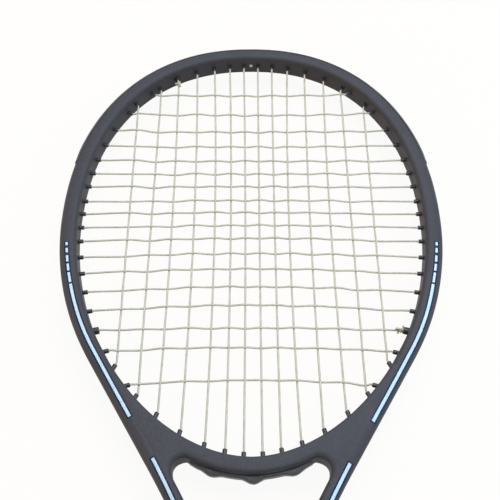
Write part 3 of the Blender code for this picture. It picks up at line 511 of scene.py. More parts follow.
def makeBridge():
    rim = bridgeRim()
    count = len(rim)
    inward = []
    for k in range(count):
        way = (rim[(k + 1) % count][0] - rim[k - 1][0]).normalized()
        inward.append(Vector((-way.y, way.x)))
    turnsLeft = sum(a[0].x * b[0].y - b[0].x * a[0].y for a, b in zip(rim, rim[1:] + rim[:1])) > 0
    flip, half = (1 if turnsLeft else -1), bridge["halfThickness"]
    angles = [math.radians(90 * k / bridge["edgeSteps"]) for k in range(bridge["edgeSteps"] + 1)]
    rings = []
    for top in (-1, 1):
        for angle in angles[::top]:
            ring = []
            for (point, rounding), normal in zip(rim, inward):
                inset = rounding * (1 - math.cos(angle))
                height = half - rounding * (1 - math.sin(angle))
                flat = point + normal * (flip * inset)
                ring.append(Vector((flat.x, flat.y, hoop["planeZ"] + top * height)))
            rings.append(ring)
    build = skinned(rings)
    bmesh.ops.triangulate(build, faces=[face for face in build.faces if len(face.verts) > 4])
    addPiece("throatBridge", meshFrom("throatBridge", build), paintGraphite, "graphite", ["throat_bridge"])


makeFrameTube()
makeBridge()
print("frame tube and bridge made")


# Stripe down each side of the faces: dashes at the top, a bare gap beside the throat
stripe = dict(
    dashes=((0.1543, 0.1517), (0.1495, 0.1458), (0.1434, 0.1383), (0.1366, 0.1311), (0.1296, 0.1219)),
    dashWidth=0.0016,
    lineStart=0.1205,
    gap={-1: (0.0272, 0.0017), 1: (0.0250, -0.0005)},
    lineEnd=-0.1000,
    outAt={
        -1: ((0.160, -0.0060), (0.121, -0.0063), (0.094, -0.0060), (0.052, -0.0055), (0.0, -0.0053),
             (-0.023, -0.0045), (-0.120, -0.0030)),
        1: ((0.160, -0.0052), (0.121, -0.0053), (0.094, -0.0046), (0.052, -0.0040), (0.0, -0.0038),
            (-0.023, -0.0033), (-0.120, -0.0030)),
    },
    width=0.0019,
    edge=0.0010,
    edgeEnd=0.0008,
    proud=0.00005,
    edgeProud=0.00003,
    sunk=0.0002,
    step=0.0025,
    across=4,
)


def stripeOut(y, side):
    table = stripe["outAt"][side]
    for (highY, highOut), (lowY, lowOut) in zip(table, table[1:]):
        if highY >= y >= lowY:
            return mixed(lowOut, highOut, (y - lowY) / (highY - lowY))
    return table[-1][1]


# Height of the tube's face at a distance in from the outline
def faceHeight(out):
    radius = hoop["faceRadius"]
    inside = min(radius, radius + min(0.0, out)) if out > -radius else 0.0
    return hoop["halfBeam"] - radius + math.sqrt(max(0.0, radius * radius - inside * inside))


def stripeRings(start, end, side, front, width, proud):
    begin = distanceWhere(outlineY, start, widestAt, fullReach)
    finish = distanceWhere(outlineY, end, widestAt, fullReach)
    rings = []
    for distance in evenPlaces(begin, finish, stripe["step"]):
        middle = stripeOut(outlineY(distance), side)
        ring = []
        for lift in (proud, -stripe["sunk"]):
            across = [middle - width / 2 + width * k / stripe["across"] for k in range(stripe["across"] + 1)]
            for out in across if lift > 0 else reversed(across):
                ring.append(framePoint(distance, side, out, front * (faceHeight(out) + lift)))
        rings.append(ring)
    return rings


def makeStripes():
    edge, edgeEnd = stripe["edge"], stripe["edgeEnd"]
    pale, dark = [], []
    for front in (1, -1):
        for side in (-1, 1):
            gapStart, gapEnd = stripe["gap"][side]
            runs = [(start, end, stripe["dashWidth"]) for start, end in stripe["dashes"]]
            runs.append((stripe["lineStart"], gapStart, stripe["width"]))
            runs.append((gapEnd, stripe["lineEnd"], stripe["width"]))
            for start, end, width in runs:
                pale.append(stripeRings(start, end, side, front, width, stripe["proud"]))
                start, end, width = start + edgeEnd, end - edgeEnd, width + 2 * edge
                dark.append(stripeRings(start, end, side, front, width, stripe["edgeProud"]))
    addPiece("sideStripes", meshFrom("sideStripes", skinned(*pale)), paintStripe)
    addPiece("sideStripeEdges", meshFrom("sideStripeEdges", skinned(*dark)), paintStripeEdge)


makeStripes()
print("stripes made")


# String holes, at the solids' places but for two rows that lie a little higher at their ends
stringBed = dict(
    mainFirst=0.0057,
    mainSteps=(0.0114, 0.0125, 0.0140, 0.0150, 0.0135, 0.0170),
    crossFirst=0.297,
    crossSteps=(0.0200, 0.0170, 0.0145, 0.0135, 0.0120, 0.0115, 0.0125, 0.0105, 0.0110,
                0.0110, 0.0125, 0.0125, 0.0140, 0.0140, 0.0170, 0.0140, 0.0225),
    fan=0.036,
    fanY=0.215,
    fanX=0.101,
    rowLift={15: 0.0030, 16: 0.0022},
    bridgeMains=3,
    shoulderMains=2,
    barrelReach=0.0036,
    bridgeReach=0.0046,
    crownReach=0.0032,
    lean=0.52,
    throatShift=0.0012,
    shiftFrom=4,
    outerDraw=0.0015,
    mouthRun=0.0012,
    tieMain=2,
    tieCross=15,
    lane=0.000975,
    diameter=0.0014,
    sides=8,
    mainRise=0.00050,
    crossRise=0.00074,
    corner=0.0009,
    step=0.0022,
    seat=-0.0011,
    pinch=(0.0, 0.0, 0.0016, 0.0025, 0.0029, 0.0020, 0.0011,
           0.0002, 0.0006, 0.0027, 0.0014, 0.0018, 0.0, 0.0),
    jitter=0.00025,
    tail=0.0040,
    endMargin=0.002,
    sideMargin=0.001,
    cornerSoft=0.3,
    grooveStep=0.004,
    bridgeSteps=8,
    sharp=70.0,
    seed=11,
)
perSide, crossCount = len(stringBed["mainSteps"]) + 1, len(stringBed["crossSteps"]) + 1
mainCount = 2 * perSide
mainX = [stringBed["mainFirst"] + sum(stringBed["mainSteps"][:k]) for k in range(perSide)]
crossY = [stringBed["crossFirst"] - sum(stringBed["crossSteps"][:k]) for k in range(crossCount)]


class StringHole:
    def __init__(self, wall, outward, reach, carrier, distance, side):
        self.wall, self.outward, self.reach = wall, outward, reach
        self.carrier, self.distance, self.side = carrier, distance, side
        self.mouth = wall - outward * reach
        self.up, self.tie, self.broad = 0.0, False, False

    def strand(self, depth, tail=False):
        up = self.up
        if self.tie:
            up = stringBed["lane"] if tail else -stringBed["lane"]
        flat = self.mouth + self.outward * depth
        return Vector((flat.x, flat.y, hoop["planeZ"] + up))


# Depth from the outline to the inner wall, which is the bridge's where that lies over the tube
def wallDepth(distance):
    point, normal = pointAt(distance), normalAt(distance)
    depth = tubeWidth(point.y)
    for _ in range(bridge["overTube"]):
        spot = point - normal * depth
        if spot.y > bridge["tipY"] or spot.y > bridgeInnerY(spot.x):
            break
        depth += bridge["depthStep"]
    return depth


# Way of a barrel: between the wall's normal and the string's own way
def leaned(normal, along):
    return normal.lerp(along, stringBed["lean"]).normalized()


def sided(flat, side):
    return Vector((side * flat.x, flat.y, 0.0))


def hoopHole(measure, value, start, end, side, along, reach):
    def wallAt(distance):
        return pointAt(distance) - normalAt(distance) * wallDepth(distance)

    def atTurn(distance):
        return measure(wallAt(distance) - leaned(normalAt(distance), along) * (reach + stringBed["mouthRun"]))

    distance = distanceWhere(atTurn, value, start, end)
    outward = leaned(normalAt(distance), along)
    return StringHole(sided(wallAt(distance), side), sided(outward, side), reach, "hoop", distance, side)


def bridgeHole(x, side, throughTube):
    reach, along = stringBed["bridgeReach"], Vector((0.0, -1.0))
    low, high = 0.0, bridge["innerHalfWidth"]
    for _ in range(bridge["halvings"]):
        middle = (low + high) / 2
        if middle - leaned(bridgeOutward(middle), along).x * (reach + stringBed["mouthRun"]) < x:
            low = middle
        else:
            high = middle
    normal = bridgeOutward(low)
    flat = Vector((low, bridgeInnerY(low)))
    wall, outward = sided(flat, side), sided(leaned(normal, along), side)
    if not throughTube:
        return StringHole(wall, outward, reach, "bridge", low, side)

    def aside(distance):
        point = pointAt(distance) - flat
        return point.x * normal.y - point.y * normal.x

    distance = distanceWhere(aside, 0.0, widestAt, handleAt)
    return StringHole(wall, outward, reach, "both", distance, side)


def mainPlace(column):
    return (-1, perSide - 1 - column) if column < perSide else (1, column - perSide)


def headHole(column):
    side, rank = mainPlace(column)
    along, reach = Vector((0.0, 1.0)), stringBed["crownReach"]
    return hoopHole(lambda turn: turn.x, mainX[rank], 0.0, widestAt, side, along, reach)


def throatHole(column):
    side, rank = mainPlace(column)
    shift = stringBed["throatShift"] if column >= stringBed["shiftFrom"] else 0.0
    x = mainX[rank] + side * shift
    if rank == perSide - 1:
        x -= stringBed["outerDraw"]
    if rank >= stringBed["bridgeMains"] + stringBed["shoulderMains"]:
        along, reach = Vector((0.0, -1.0)), stringBed["barrelReach"]
        return hoopHole(lambda turn: turn.x, x, widestAt, bendAt, side, along, reach)
    return bridgeHole(x, side, rank >= stringBed["bridgeMains"])


def crossLine(row, x):
    bow = stringBed["fan"] * (crossY[row] - stringBed["fanY"]) + stringBed["rowLift"].get(row, 0.0)
    return crossY[row] + bow * (x / stringBed["fanX"]) ** 2


def crossHole(row, side):
    along, reach = Vector((1.0, 0.0)), stringBed["barrelReach"]
    return hoopHole(lambda turn: turn.y - crossLine(row, turn.x), 0.0, 0.0, bendAt, side, along, reach)


heads = [headHole(column) for column in range(mainCount)]
throats = [throatHole(column) for column in range(mainCount)]
rights = [crossHole(row, 1) for row in range(crossCount)]
lefts = [crossHole(row, -1) for row in range(crossCount)]
tieMain, tieCross = stringBed["tieMain"], stringBed["tieCross"]
heads[tieMain].tie = rights[tieCross].tie = True
for hole in (heads[tieMain], rights[tieCross], lefts[tieCross]):  # the left strip has its twin tie-off barrel
    hole.broad = True
for hole in [heads[tieMain - 2], rights[tieCross + 2]] + lefts[-2:]:
    hole.up = stringBed["lane"]
for hole in [heads[tieMain - 1], rights[tieCross + 1]] + lefts[:2] + throats[:2] + throats[-2:]:
    hole.up = -stringBed["lane"]
holes = heads + throats + rights + lefts
print("string holes placed:", len(holes))


# Geometry Nodes helpers

def newTree(name, inputs):
    tree = bpy.data.node_groups.new(name, "GeometryNodeTree")
    tree.interface.new_socket("Geometry", in_out="OUTPUT", socket_type="NodeSocketGeometry")
    tree.interface.new_socket("Geometry", in_out="INPUT", socket_type="NodeSocketGeometry")
    for label, kind in inputs:
        tree.interface.new_socket(label, in_out="INPUT", socket_type=kind)
    return tree, tree.nodes.new("NodeGroupInput"), tree.nodes.new("NodeGroupOutput")


# Ends a tree: real geometry, one material
def closeTree(tree, start, end, geometry):
    real = addNode(tree, "GeometryNodeRealizeInstances", {"Geometry": geometry}).outputs["Geometry"]
    looks = {"Geometry": real, "Material": start.outputs["Material"]}
    paint = addNode(tree, "GeometryNodeSetMaterial", looks)
    tree.links.new(paint.outputs["Geometry"], end.inputs["Geometry"])


# Runs a tree on a carrier mesh and returns the plain mesh it makes
def grown(name, carrier, tree, values):
    holder = bpy.data.objects.new(name + "Carrier", carrier)
    bpy.context.scene.collection.objects.link(holder)
    step = holder.modifiers.new(name, "NODES")
    step.node_group = tree
    for item in tree.interface.items_tree:
        if item.in_out == "INPUT" and item.name in values:
            step[item.identifier] = values[item.name]
    shown = holder.evaluated_get(bpy.context.evaluated_depsgraph_get())
    mesh = bpy.data.meshes.new_from_object(shown)
    mesh.name = name
    holder.modifiers.clear()
    bpy.data.objects.remove(holder)
    return mesh


def pointCarrier(name, points, vectors):
    mesh = bpy.data.meshes.new(name)
    mesh.from_pydata(points, [], [])
    for label, values in vectors.items():
        layer = mesh.attributes.new(label, "FLOAT_VECTOR", "POINT")
        layer.data.foreach_set("vector", [number for value in values for number in value])
    return mesh


def lineCarrier(name, lines):
    points, edges = [], []
    for line in lines:
        first = len(points)
        points += line
        edges += [(first + k, first + k + 1) for k in range(len(line) - 1)]
    mesh = bpy.data.meshes.new(name)
    mesh.from_pydata(points, edges, [])
    return mesh


# A ring of wall, turned to a direction at each point of the carrier
def ringTree(name, segments):
    tree, start, end = newTree(name, (
        ("Radius", "NodeSocketFloat"), ("Bore", "NodeSocketFloat"), ("Length", "NodeSocketFloat"),
        ("Rounding", "NodeSocketFloat"), ("Material", "NodeSocketMaterial")))
    given = start.outputs

    def combined(operation, first, second):
        return addNode(tree, "ShaderNodeMath", {0: first, 1: second}, operation=operation).outputs[0]

    def stored(label):
        node = addNode(tree, "GeometryNodeInputNamedAttribute", {"Name": label}, data_type="FLOAT_VECTOR")
        return node.outputs["Attribute"]

    wall = combined("SUBTRACT", given["Radius"], given["Bore"])
    middle = combined("MULTIPLY", combined("ADD", given["Radius"], given["Bore"]), 0.5)
    path = addNode(tree, "GeometryNodeCurvePrimitiveCircle", {"Resolution": segments, "Radius": middle})
    upright = addNode(tree, "GeometryNodeSetCurveNormal", {"Curve": path.outputs["Curve"]}, mode="Z_UP")
    profile = addNode(tree, "GeometryNodeCurvePrimitiveQuadrilateral", {
        "Width": wall, "Height": given["Length"]})
    fillet = addNode(tree, "GeometryNodeFilletCurve", {
        "Curve": profile.outputs["Curve"], "Radius": given["Rounding"], "Count": 1}, mode="POLY")
    body = addNode(tree, "GeometryNodeCurveToMesh", {
        "Curve": upright.outputs["Curve"], "Profile Curve": fillet.outputs["Curve"]})
    turn = addNode(tree, "FunctionNodeAlignRotationToVector", {"Vector": stored("outward")}, axis="Z")
    copies = addNode(tree, "GeometryNodeInstanceOnPoints", {
        "Points": given["Geometry"], "Instance": body.outputs["Mesh"],
        "Rotation": turn.outputs["Rotation"], "Scale": stored("girth")})
    closeTree(tree, start, end, copies.outputs["Instances"])
    return tree


# A round tube along every line of the carrier, with the run along it kept
def tubeTree(name):
    tree, start, end = newTree(name, (
        ("Radius", "NodeSocketFloat"), ("Sides", "NodeSocketInt"), ("Material", "NodeSocketMaterial")))
    given = start.outputs
    line = addNode(tree, "GeometryNodeMeshToCurve", {"Mesh": given["Geometry"]})
    run = addNode(tree, "GeometryNodeSplineParameter")
    kept = addNode(tree, "GeometryNodeStoreNamedAttribute", {
        "Geometry": line.outputs["Curve"], "Name": "run", "Value": run.outputs["Length"]}, domain="POINT")
    profile = addNode(tree, "GeometryNodeCurvePrimitiveCircle", {
        "Resolution": given["Sides"], "Radius": given["Radius"]})
    body = addNode(tree, "GeometryNodeCurveToMesh", {
        "Curve": kept.outputs["Geometry"], "Profile Curve": profile.outputs["Curve"], "Fill Caps": True})
    closeTree(tree, start, end, body.outputs["Mesh"])
    return tree


# Grommet barrels

barrel = dict(radius=0.0015, bore=0.00095, length=0.0070, rounding=0.00025, tieGirth=1.65, segments=14)


def makeBarrels():
    points, outward, girth = [], [], []
    for hole in holes:
        centre = hole.mouth + hole.outward * (barrel["length"] / 2)
        points.append(Vector((centre.x, centre.y, hoop["planeZ"] + hole.up)))
        outward.append(hole.outward)
        wide = barrel["tieGirth"] if hole.broad else 1.0
        girth.append(Vector((wide, wide, 1.0)))
    carrier = pointCarrier("barrelPoints", points, dict(outward=outward, girth=girth))
    values = dict(Radius=barrel["radius"], Bore=barrel["bore"], Length=barrel["length"],
                  Rounding=barrel["rounding"], Material=nylonStrip)
    mesh = grown("grommetBarrels", carrier, ringTree("barrelTree", barrel["segments"]), values)
    addPiece("grommetBarrels", mesh, nylonStrip, "grommet_nylon")


makeBarrels()
print("barrels made")


# Strips in the side grooves
sideStrip = dict(
    thickness=0.0005, floor=-0.0023, half=0.0029, pastHole=0.008, gap=0.0006, step=0.003, soft=0.0003,
)
bumper = dict(
    endY=0.2268, stand=0.0011, endStand=0.0007, taper=0.012, wrap=50.0, channel=0.0019, channelFloor=-0.0018,
    sunk=-0.0002, step=0.0028, lip=0.0004, grooveGap=0.0002, fromTurn=15.0, lipTurn=0.2,
    innerSteps=5, outerSteps=7,
)
bumperEndAt = distanceWhere(outlineY, bumper["endY"], 0.0, widestAt)


def makeSideStrip(name, side, node):
    last = max(h.distance for h in holes if h.side == side and h.carrier != "bridge") + sideStrip["pastHole"]
    top, half, soft = sideStrip["floor"] + sideStrip["thickness"], sideStrip["half"], sideStrip["soft"]
    section = [(sideStrip["floor"], -half), (top - soft, -half), (top, soft - half),
               (top, half - soft), (top - soft, half), (sideStrip["floor"], half)]
    places = evenPlaces(bumperEndAt + sideStrip["gap"], last, sideStrip["step"])
    rings = [frameRing(distance, side, section) for distance in places]
    addRings(name, rings, nylonStrip, "grommet_nylon", [node])


# Bumper: two rails on the rounded outer face, joined by the strip in the groove
def bumperSection(distance):
    share = smoothStep(0.0, bumper["taper"], bumperEndAt - distance)
    stand = mixed(bumper["endStand"], bumper["stand"], share)
    radius, centre = hoop["faceRadius"], hoop["halfBeam"] - hoop["faceRadius"]
    lip, wrap, channel = bumper["lip"], bumper["wrap"], bumper["channel"]
    half = [(sideStrip["floor"], hoop["grooveHalf"] - bumper["grooveGap"]), (bumper["sunk"], centre)]
    half += arc(-radius, centre, radius + bumper["sunk"], bumper["fromTurn"], wrap, bumper["innerSteps"])
    edge = math.degrees(lip / radius)
    half += arc(-radius, centre, radius + stand - lip, wrap, wrap - bumper["lipTurn"], 1)
    half += arc(-radius, centre, radius + stand, wrap - edge, 0, bumper["outerSteps"])
    half += [(stand, channel + lip), (stand - lip, channel), (bumper["channelFloor"], channel)]
    return half + [(out, -up) for out, up in reversed(half)]


def makeBumper():
    places = bothSides(evenPlaces(0.0, bumperEndAt, bumper["step"]))
    rings = [frameRing(distance, side, bumperSection(distance)) for distance, side in places]
    addRings("bumperGuard", rings, nylonBumper, "grommet_nylon", ["bumper_guard"])


# Strip under the bridge: a ribbon that swells into a hump over each loop of string
throatStrip = dict(
    half=0.0028, thickness=0.0019, thin=0.0013, reach=0.0328, taper=0.005, hump=0.0026, sideHump=0.0018,
    humpHalf=0.0066, humpDraw=0.90, humpNarrow=0.0006, steps=140, soft=0.0006, cornerCut=0.3, sunk=-0.0006,
)


def throatPoint(along, depth, up):
    x = abs(along)
    flat = Vector((x, bridgeInnerY(x))) + bridgeOutward(x) * (bridge["width"] + depth)
    return Vector((math.copysign(flat.x, along), flat.y, hoop["planeZ"] + up))


def throatRing(along, low, high, half):
    soft = throatStrip["soft"]
    cut = soft * throatStrip["cornerCut"]
    corners = ((low, -half), (low, half), (high - soft, half), (high - cut, half - cut), (high, half - soft),
               (high, soft - half), (high - cut, cut - half), (high - soft, -half))
    return [throatPoint(along, depth, up) for depth, up in corners]


def makeThroatStrip():
    mine = sorted((h for h in throats if h.carrier == "bridge"), key=lambda h: h.mouth.x)
    middles = []
    for a, b in zip(mine[0::2], mine[1::2]):
        middle = (a.side * a.distance + b.side * b.distance) / 2 * throatStrip["humpDraw"]
        central = abs(middle) < throatStrip["humpHalf"]
        middles.append((middle, throatStrip["hump"] if central else throatStrip["sideHump"]))
    reach = throatStrip["reach"]
    rings = []
    for along in evenPlaces(-reach, reach, 2 * reach / throatStrip["steps"]):
        rise = 0.0
        for middle, height in middles:
            t = min(1.0, abs(along - middle) / throatStrip["humpHalf"])
            rise = max(rise, height * (1 + math.cos(math.pi * t)) / 2)
        share = smoothStep(0.0, throatStrip["taper"], reach - abs(along))
        high = mixed(throatStrip["thin"], throatStrip["thickness"], share) + rise
        half = throatStrip["half"] - throatStrip["humpNarrow"] * rise / throatStrip["hump"]
        rings.append(throatRing(along, throatStrip["sunk"], high, half))
    addRings("throatStrip", rings, nylonStrip, "grommet_nylon", ["throat_grommet_strip"])


makeSideStrip("sideStripLeft", -1, "grommet_strip_left")
makeSideStrip("sideStripRight", 1, "grommet_strip_right")
makeBumper()
makeThroatStrip()
print("bumper and grommet strips made")


# String bed: one length, woven over and under
def wave(places, value):
    for (start, startUp), (end, endUp) in zip(places, places[1:]):
        if start <= value <= end:
            t = (value - start) / (end - start)
            return mixed(startUp, endUp, (1 - math.cos(math.pi * t)) / 2)
    return places[-1][1] if value > places[-1][0] else places[0][1]


drift = random.Random(stringBed["seed"])
rowDrift = [[drift.uniform(-1, 1) * stringBed["jitter"] for _ in range(mainCount)] for _ in range(crossCount)]


def over(row, column):
    return -1 if (row + column) % 2 else 1


# A strand's point just inside the bed, past its barrel's mouth
def turnOf(hole):
    return hole.strand(-stringBed["mouthRun"])


# Place of a main at a height on the bed: between its holes, drawn in at the middle
def mainXAt(column, y):
    head, throat = turnOf(heads[column]), turnOf(throats[column])
    t = min(1.0, max(0.0, (head.y - y) / (head.y - throat.y)))
    side, _ = mainPlace(column)
    return mixed(head.x, throat.x, t) - side * stringBed["pinch"][column] * 4 * t * (1 - t)


def crossingsOf(column):
    head, throat = turnOf(heads[column]), turnOf(throats[column])
    margin = stringBed["endMargin"]
    found = []
    for row in range(crossCount):
        y = crossLine(row, mainXAt(column, crossY[row]))
        if throat.y + margin < y < head.y - margin:
            found.append((row, y))
    return found


def mainRun(column):
    head, throat = turnOf(heads[column]), turnOf(throats[column])
    level = [(-head.y, head.z)]
    for row, y in crossingsOf(column):
        share = (head.y - y) / (head.y - throat.y)
        level.append((-y, mixed(head.z, throat.z, share) - over(row, column) * stringBed["mainRise"]))
    level.append((-throat.y, throat.z))
    points = []
    for y in evenPlaces(-head.y, -throat.y, stringBed["step"]):
        points.append(Vector((mainXAt(column, -y), -y, wave(level, y))))
    return points


def crossRun(row):
    right, left = turnOf(rights[row]), turnOf(lefts[row])
    level, sway = [(left.x, left.z)], [(left.x, left.y - crossLine(row, left.x))]
    aside, margin = stringBed["sideMargin"], stringBed["endMargin"]
    for column in range(mainCount):
        x = mainXAt(column, crossY[row])
        y = crossLine(row, x)
        head, throat = turnOf(heads[column]), turnOf(throats[column])
        if left.x + aside < x < right.x - aside and throat.y + margin < y < head.y - margin:
            share = (head.y - y) / (head.y - throat.y)
            level.append((x, mixed(head.z, throat.z, share) + over(row, column) * stringBed["crossRise"]))
            sway.append((x, rowDrift[row][column]))
    level.append((right.x, right.z))
    sway.append((right.x, right.y - crossLine(row, right.x)))
    points = []
    for x in evenPlaces(left.x, right.x, stringBed["step"]):
        points.append(Vector((x, crossLine(row, x) + wave(sway, x), wave(level, x))))
    return points


# A run with its two ends rounded into the barrels
def cornered(points, first, second):
    reach, soft = stringBed["corner"], stringBed["cornerSoft"]
    start, end = points[0], points[-1]
    lead = (points[1] - start).normalized() * reach
    trail = (points[-2] - end).normalized() * reach
    inFirst, inSecond = first.outward * reach, second.outward * reach
    opening = [start - inFirst, start - inFirst * soft + lead * soft, start + lead]
    closing = [end + trail, end - inSecond * soft + trail * soft, end - inSecond]
    return opening + points[1:-1] + closing


# Run of string in the outer groove, or under the bridge
def grooveRun(first, second, up):
    low, high = sorted((first.distance, second.distance))
    places = evenPlaces(low, high, stringBed["grooveStep"])
    if first.distance > second.distance:
        places.reverse()
    return cornered([framePoint(d, first.side, stringBed["seat"], up) for d in places], first, second)


def bridgeRun(first, second):
    depth = throatStrip["thickness"] - stringBed["diameter"]
    low, high = first.side * first.distance, second.side * second.distance
    places = evenPlaces(low, high, (high - low) / stringBed["bridgeSteps"])
    return cornered([throatPoint(along, depth, 0.0) for along in places], first, second)


# Points down a barrel, from its mouth to the wall
def inBarrel(hole, tail=False):
    return [hole.strand(0.0, tail), hole.strand(hole.reach, tail)]


def link(first, second):
    run = bridgeRun(first, second) if first.carrier == "bridge" else grooveRun(first, second, second.up)
    return inBarrel(first) + run + inBarrel(second)[::-1]


def stringRoute():
    lane = stringBed["lane"]
    back = -stringBed["mouthRun"] - stringBed["tail"]
    tie, end = heads[tieMain], heads[tieMain - 2]
    route = [tie.strand(back, True)] + inBarrel(tie, True) + grooveRun(tie, end, lane) + inBarrel(end)[::-1]
    for column in range(mainCount):
        run = mainRun(column)
        down = column % 2 == 0
        route += run if down else run[::-1]
        if column < mainCount - 1:
            ends = throats if down else heads
            route += link(ends[column], ends[column + 1])
    route += link(heads[-1], rights[0])
    for row in range(crossCount):
        run = crossRun(row)
        leftward = row % 2 == 0
        route += run[::-1] if leftward else run
        if row < crossCount - 1:
            ends = lefts if leftward else rights
            route += link(ends[row], ends[row + 1])
    tie, end = rights[tieCross], rights[tieCross + 2]
    route += inBarrel(end) + grooveRun(end, tie, lane) + inBarrel(tie, True)[::-1]
    return route + [tie.strand(back, True)]


# Knot: turns of string round the strand just inside its hole
knot = dict(
    turns=1.75, radius=0.00125, pitch=0.00125, fromMouth=-0.0008, stepsPerTurn=14, string=0.00060,
    tail=0.0046, stub=0.0024, tailUp=0.25, tailSteps=4, aim=4,
    mainEnds=((-0.9, -0.45, 0.0), (0.85, -0.5, 0.0)), crossEnds=((0.2, 0.95, 0.0), (-0.4, -0.9, 0.0)),
)


def knotLine(run, ends):
    start = run[0]
    axis = (run[knot["aim"]] - start).normalized()
    across = Vector((0.0, 0.0, 1.0)).cross(axis).normalized()
    up = axis.cross(across)
    steps = int(knot["turns"] * knot["stepsPerTurn"])
    points = []
    for k in range(steps + 1):
        angle = 2 * math.pi * k / knot["stepsPerTurn"]
        centre = start + axis * (knot["fromMouth"] + knot["pitch"] * k / knot["stepsPerTurn"])
        points.append(centre + (across * math.cos(angle) + up * math.sin(angle)) * knot["radius"])
    lift = Vector((0.0, 0.0, knot["tailUp"]))
    tailWay, stubWay = [(Vector(way) + lift).normalized() for way in ends]
    tailStep = tailWay * (knot["tail"] / knot["tailSteps"])
    stubStep = stubWay * (knot["stub"] / knot["tailSteps"])
    for _ in range(knot["tailSteps"]):
        points.insert(0, points[0] + tailStep)
        points.append(points[-1] + stubStep)
    return points


def makeString():
    tree = tubeTree("stringTree")
    values = dict(Radius=stringBed["diameter"] / 2, Sides=stringBed["sides"], Material=gutString)
    mesh = grown("stringBed", lineCarrier("stringLine", [stringRoute()]), tree, values)
    addPiece("stringBed", mesh, gutString, "string_gut", ["string"], sharp=stringBed["sharp"])
    values["Radius"] = knot["string"]
    for name, run, ends, node in (("knotMain", mainRun(tieMain), knot["mainEnds"], "knot_main"),
                                  ("knotCross", crossRun(tieCross)[::-1], knot["crossEnds"], "knot_cross")):
        mesh = grown(name, lineCarrier("knotLine", [knotLine(run, ends)]), tree, values)
        addPiece(name, mesh, gutString, "string_gut", [node], sharp=stringBed["sharp"])


makeString()
print("string bed and knots made")


# Plug in the inner wall at the crown
plug = dict(radius=0.0015, proud=0.0007, sunk=0.0010, segments=20, steps=6, dome=0.94)


def makePlug():
    wall = hoop["crownY"] - tubeWidth(hoop["crownY"])
    rings = []
    profile = [(plug["radius"], plug["sunk"])]
    for k in range(plug["steps"] + 1):
        angle = math.pi / 2 * plug["dome"] * k / plug["steps"]
        profile.append((plug["radius"] * math.cos(angle), -plug["proud"] * math.sin(angle)))
    for radius, along in profile:
        ring = []
        for k in range(plug["segments"]):
            angle = 2 * math.pi * k / plug["segments"]
            x, z = radius * math.cos(angle), radius * math.sin(angle)
            ring.append(Vector((x, wall + along, hoop["planeZ"] + z)))
        rings.append(ring)
    addRings("ventPlug", rings, nylonPlug, "plug_nylon", ["vent_plug"])


makePlug()
print("plug made")


# Handle: eight sides with eased corners
handle = dict(
    buttY=-0.3429, topY=-0.145, halfWidth=0.0148, halfHeight=0.0133, corner=0.0072, ease=0.0022,
    easeGrowth=0.3, cornerSteps=4, rim=0.007, flareStart=0.025, flare=0.0042, lip=0.0019, clearance=0.0003,
)
grip = dict(
    thickness=0.0014, edgeThickness=0.0004, pitch=0.0254, gap=0.0001, belowTop=0.003, stripEnd=0.003,
    across=8, shoulder=4.5, sharp=60.0,
)
holesInGrip = dict(
    rows=(-0.0075, -0.0025, 0.0025, 0.0075), spacing=0.0062, margin=0.003, radius=0.00052, bore=0.00018,
    height=0.00016, rounding=0.00004, segments=8,
)


# Points round the handle at a distance out from its bare sides
def handleRound(out):
    width, height = handle["halfWidth"] + out, handle["halfHeight"] + out
    corner = handle["corner"] + out * (2 - math.sqrt(2))
    right = [(width, corner - height), (width, height - corner)]
    top = [(width - corner, height), (corner - width, height)]
    corners = [Vector(p) for p in right + top] + [Vector((-x, -z)) for x, z in right + top]
    points = []
    ease = handle["ease"] + handle["easeGrowth"] * out
    for k, point in enumerate(corners):
        before = (corners[k - 1] - point).normalized() * ease
        after = (corners[(k + 1) % len(corners)] - point).normalized() * ease
        for n in range(handle["cornerSteps"] + 1):
            t = n / handle["cornerSteps"]
            points.append(point + before * (1 - t) ** 2 + after * t * t)
    return points


# Rings round the handle from places along it, each with its distance out
def handleRings(profile):
    return [[Vector((p.x, y, hoop["planeZ"] + p.y)) for p in handleRound(out)] for y, out in profile]


def flareOut(y):
    start, full = handle["buttY"] + handle["flareStart"], handle["buttY"] + handle["rim"]
    return handle["flare"] * min(1.0, max(0.0, (start - y) / (start - full)))


# Place on the wound handle, out from what lies under the grip
def gripSpot(index, y, out):
    point = handleRound(flareOut(y) + handle["clearance"] + out)[index]
    return Vector((point.x, y, hoop["planeZ"] + point.y))


# The strip across its width, thin at its two edges
def gripRing(index, low, high):
    ring = [gripSpot(index, low, 0.0)]
    for k in range(grip["across"] + 1):
        t = k / grip["across"]
        crown = min(1.0, grip["shoulder"] * min(t, 1 - t)) ** 0.5
        thick = mixed(grip["edgeThickness"], grip["thickness"], crown)
        ring.append(gripSpot(index, mixed(low, high, t), thick))
    return ring + [gripSpot(index, high, 0.0)]


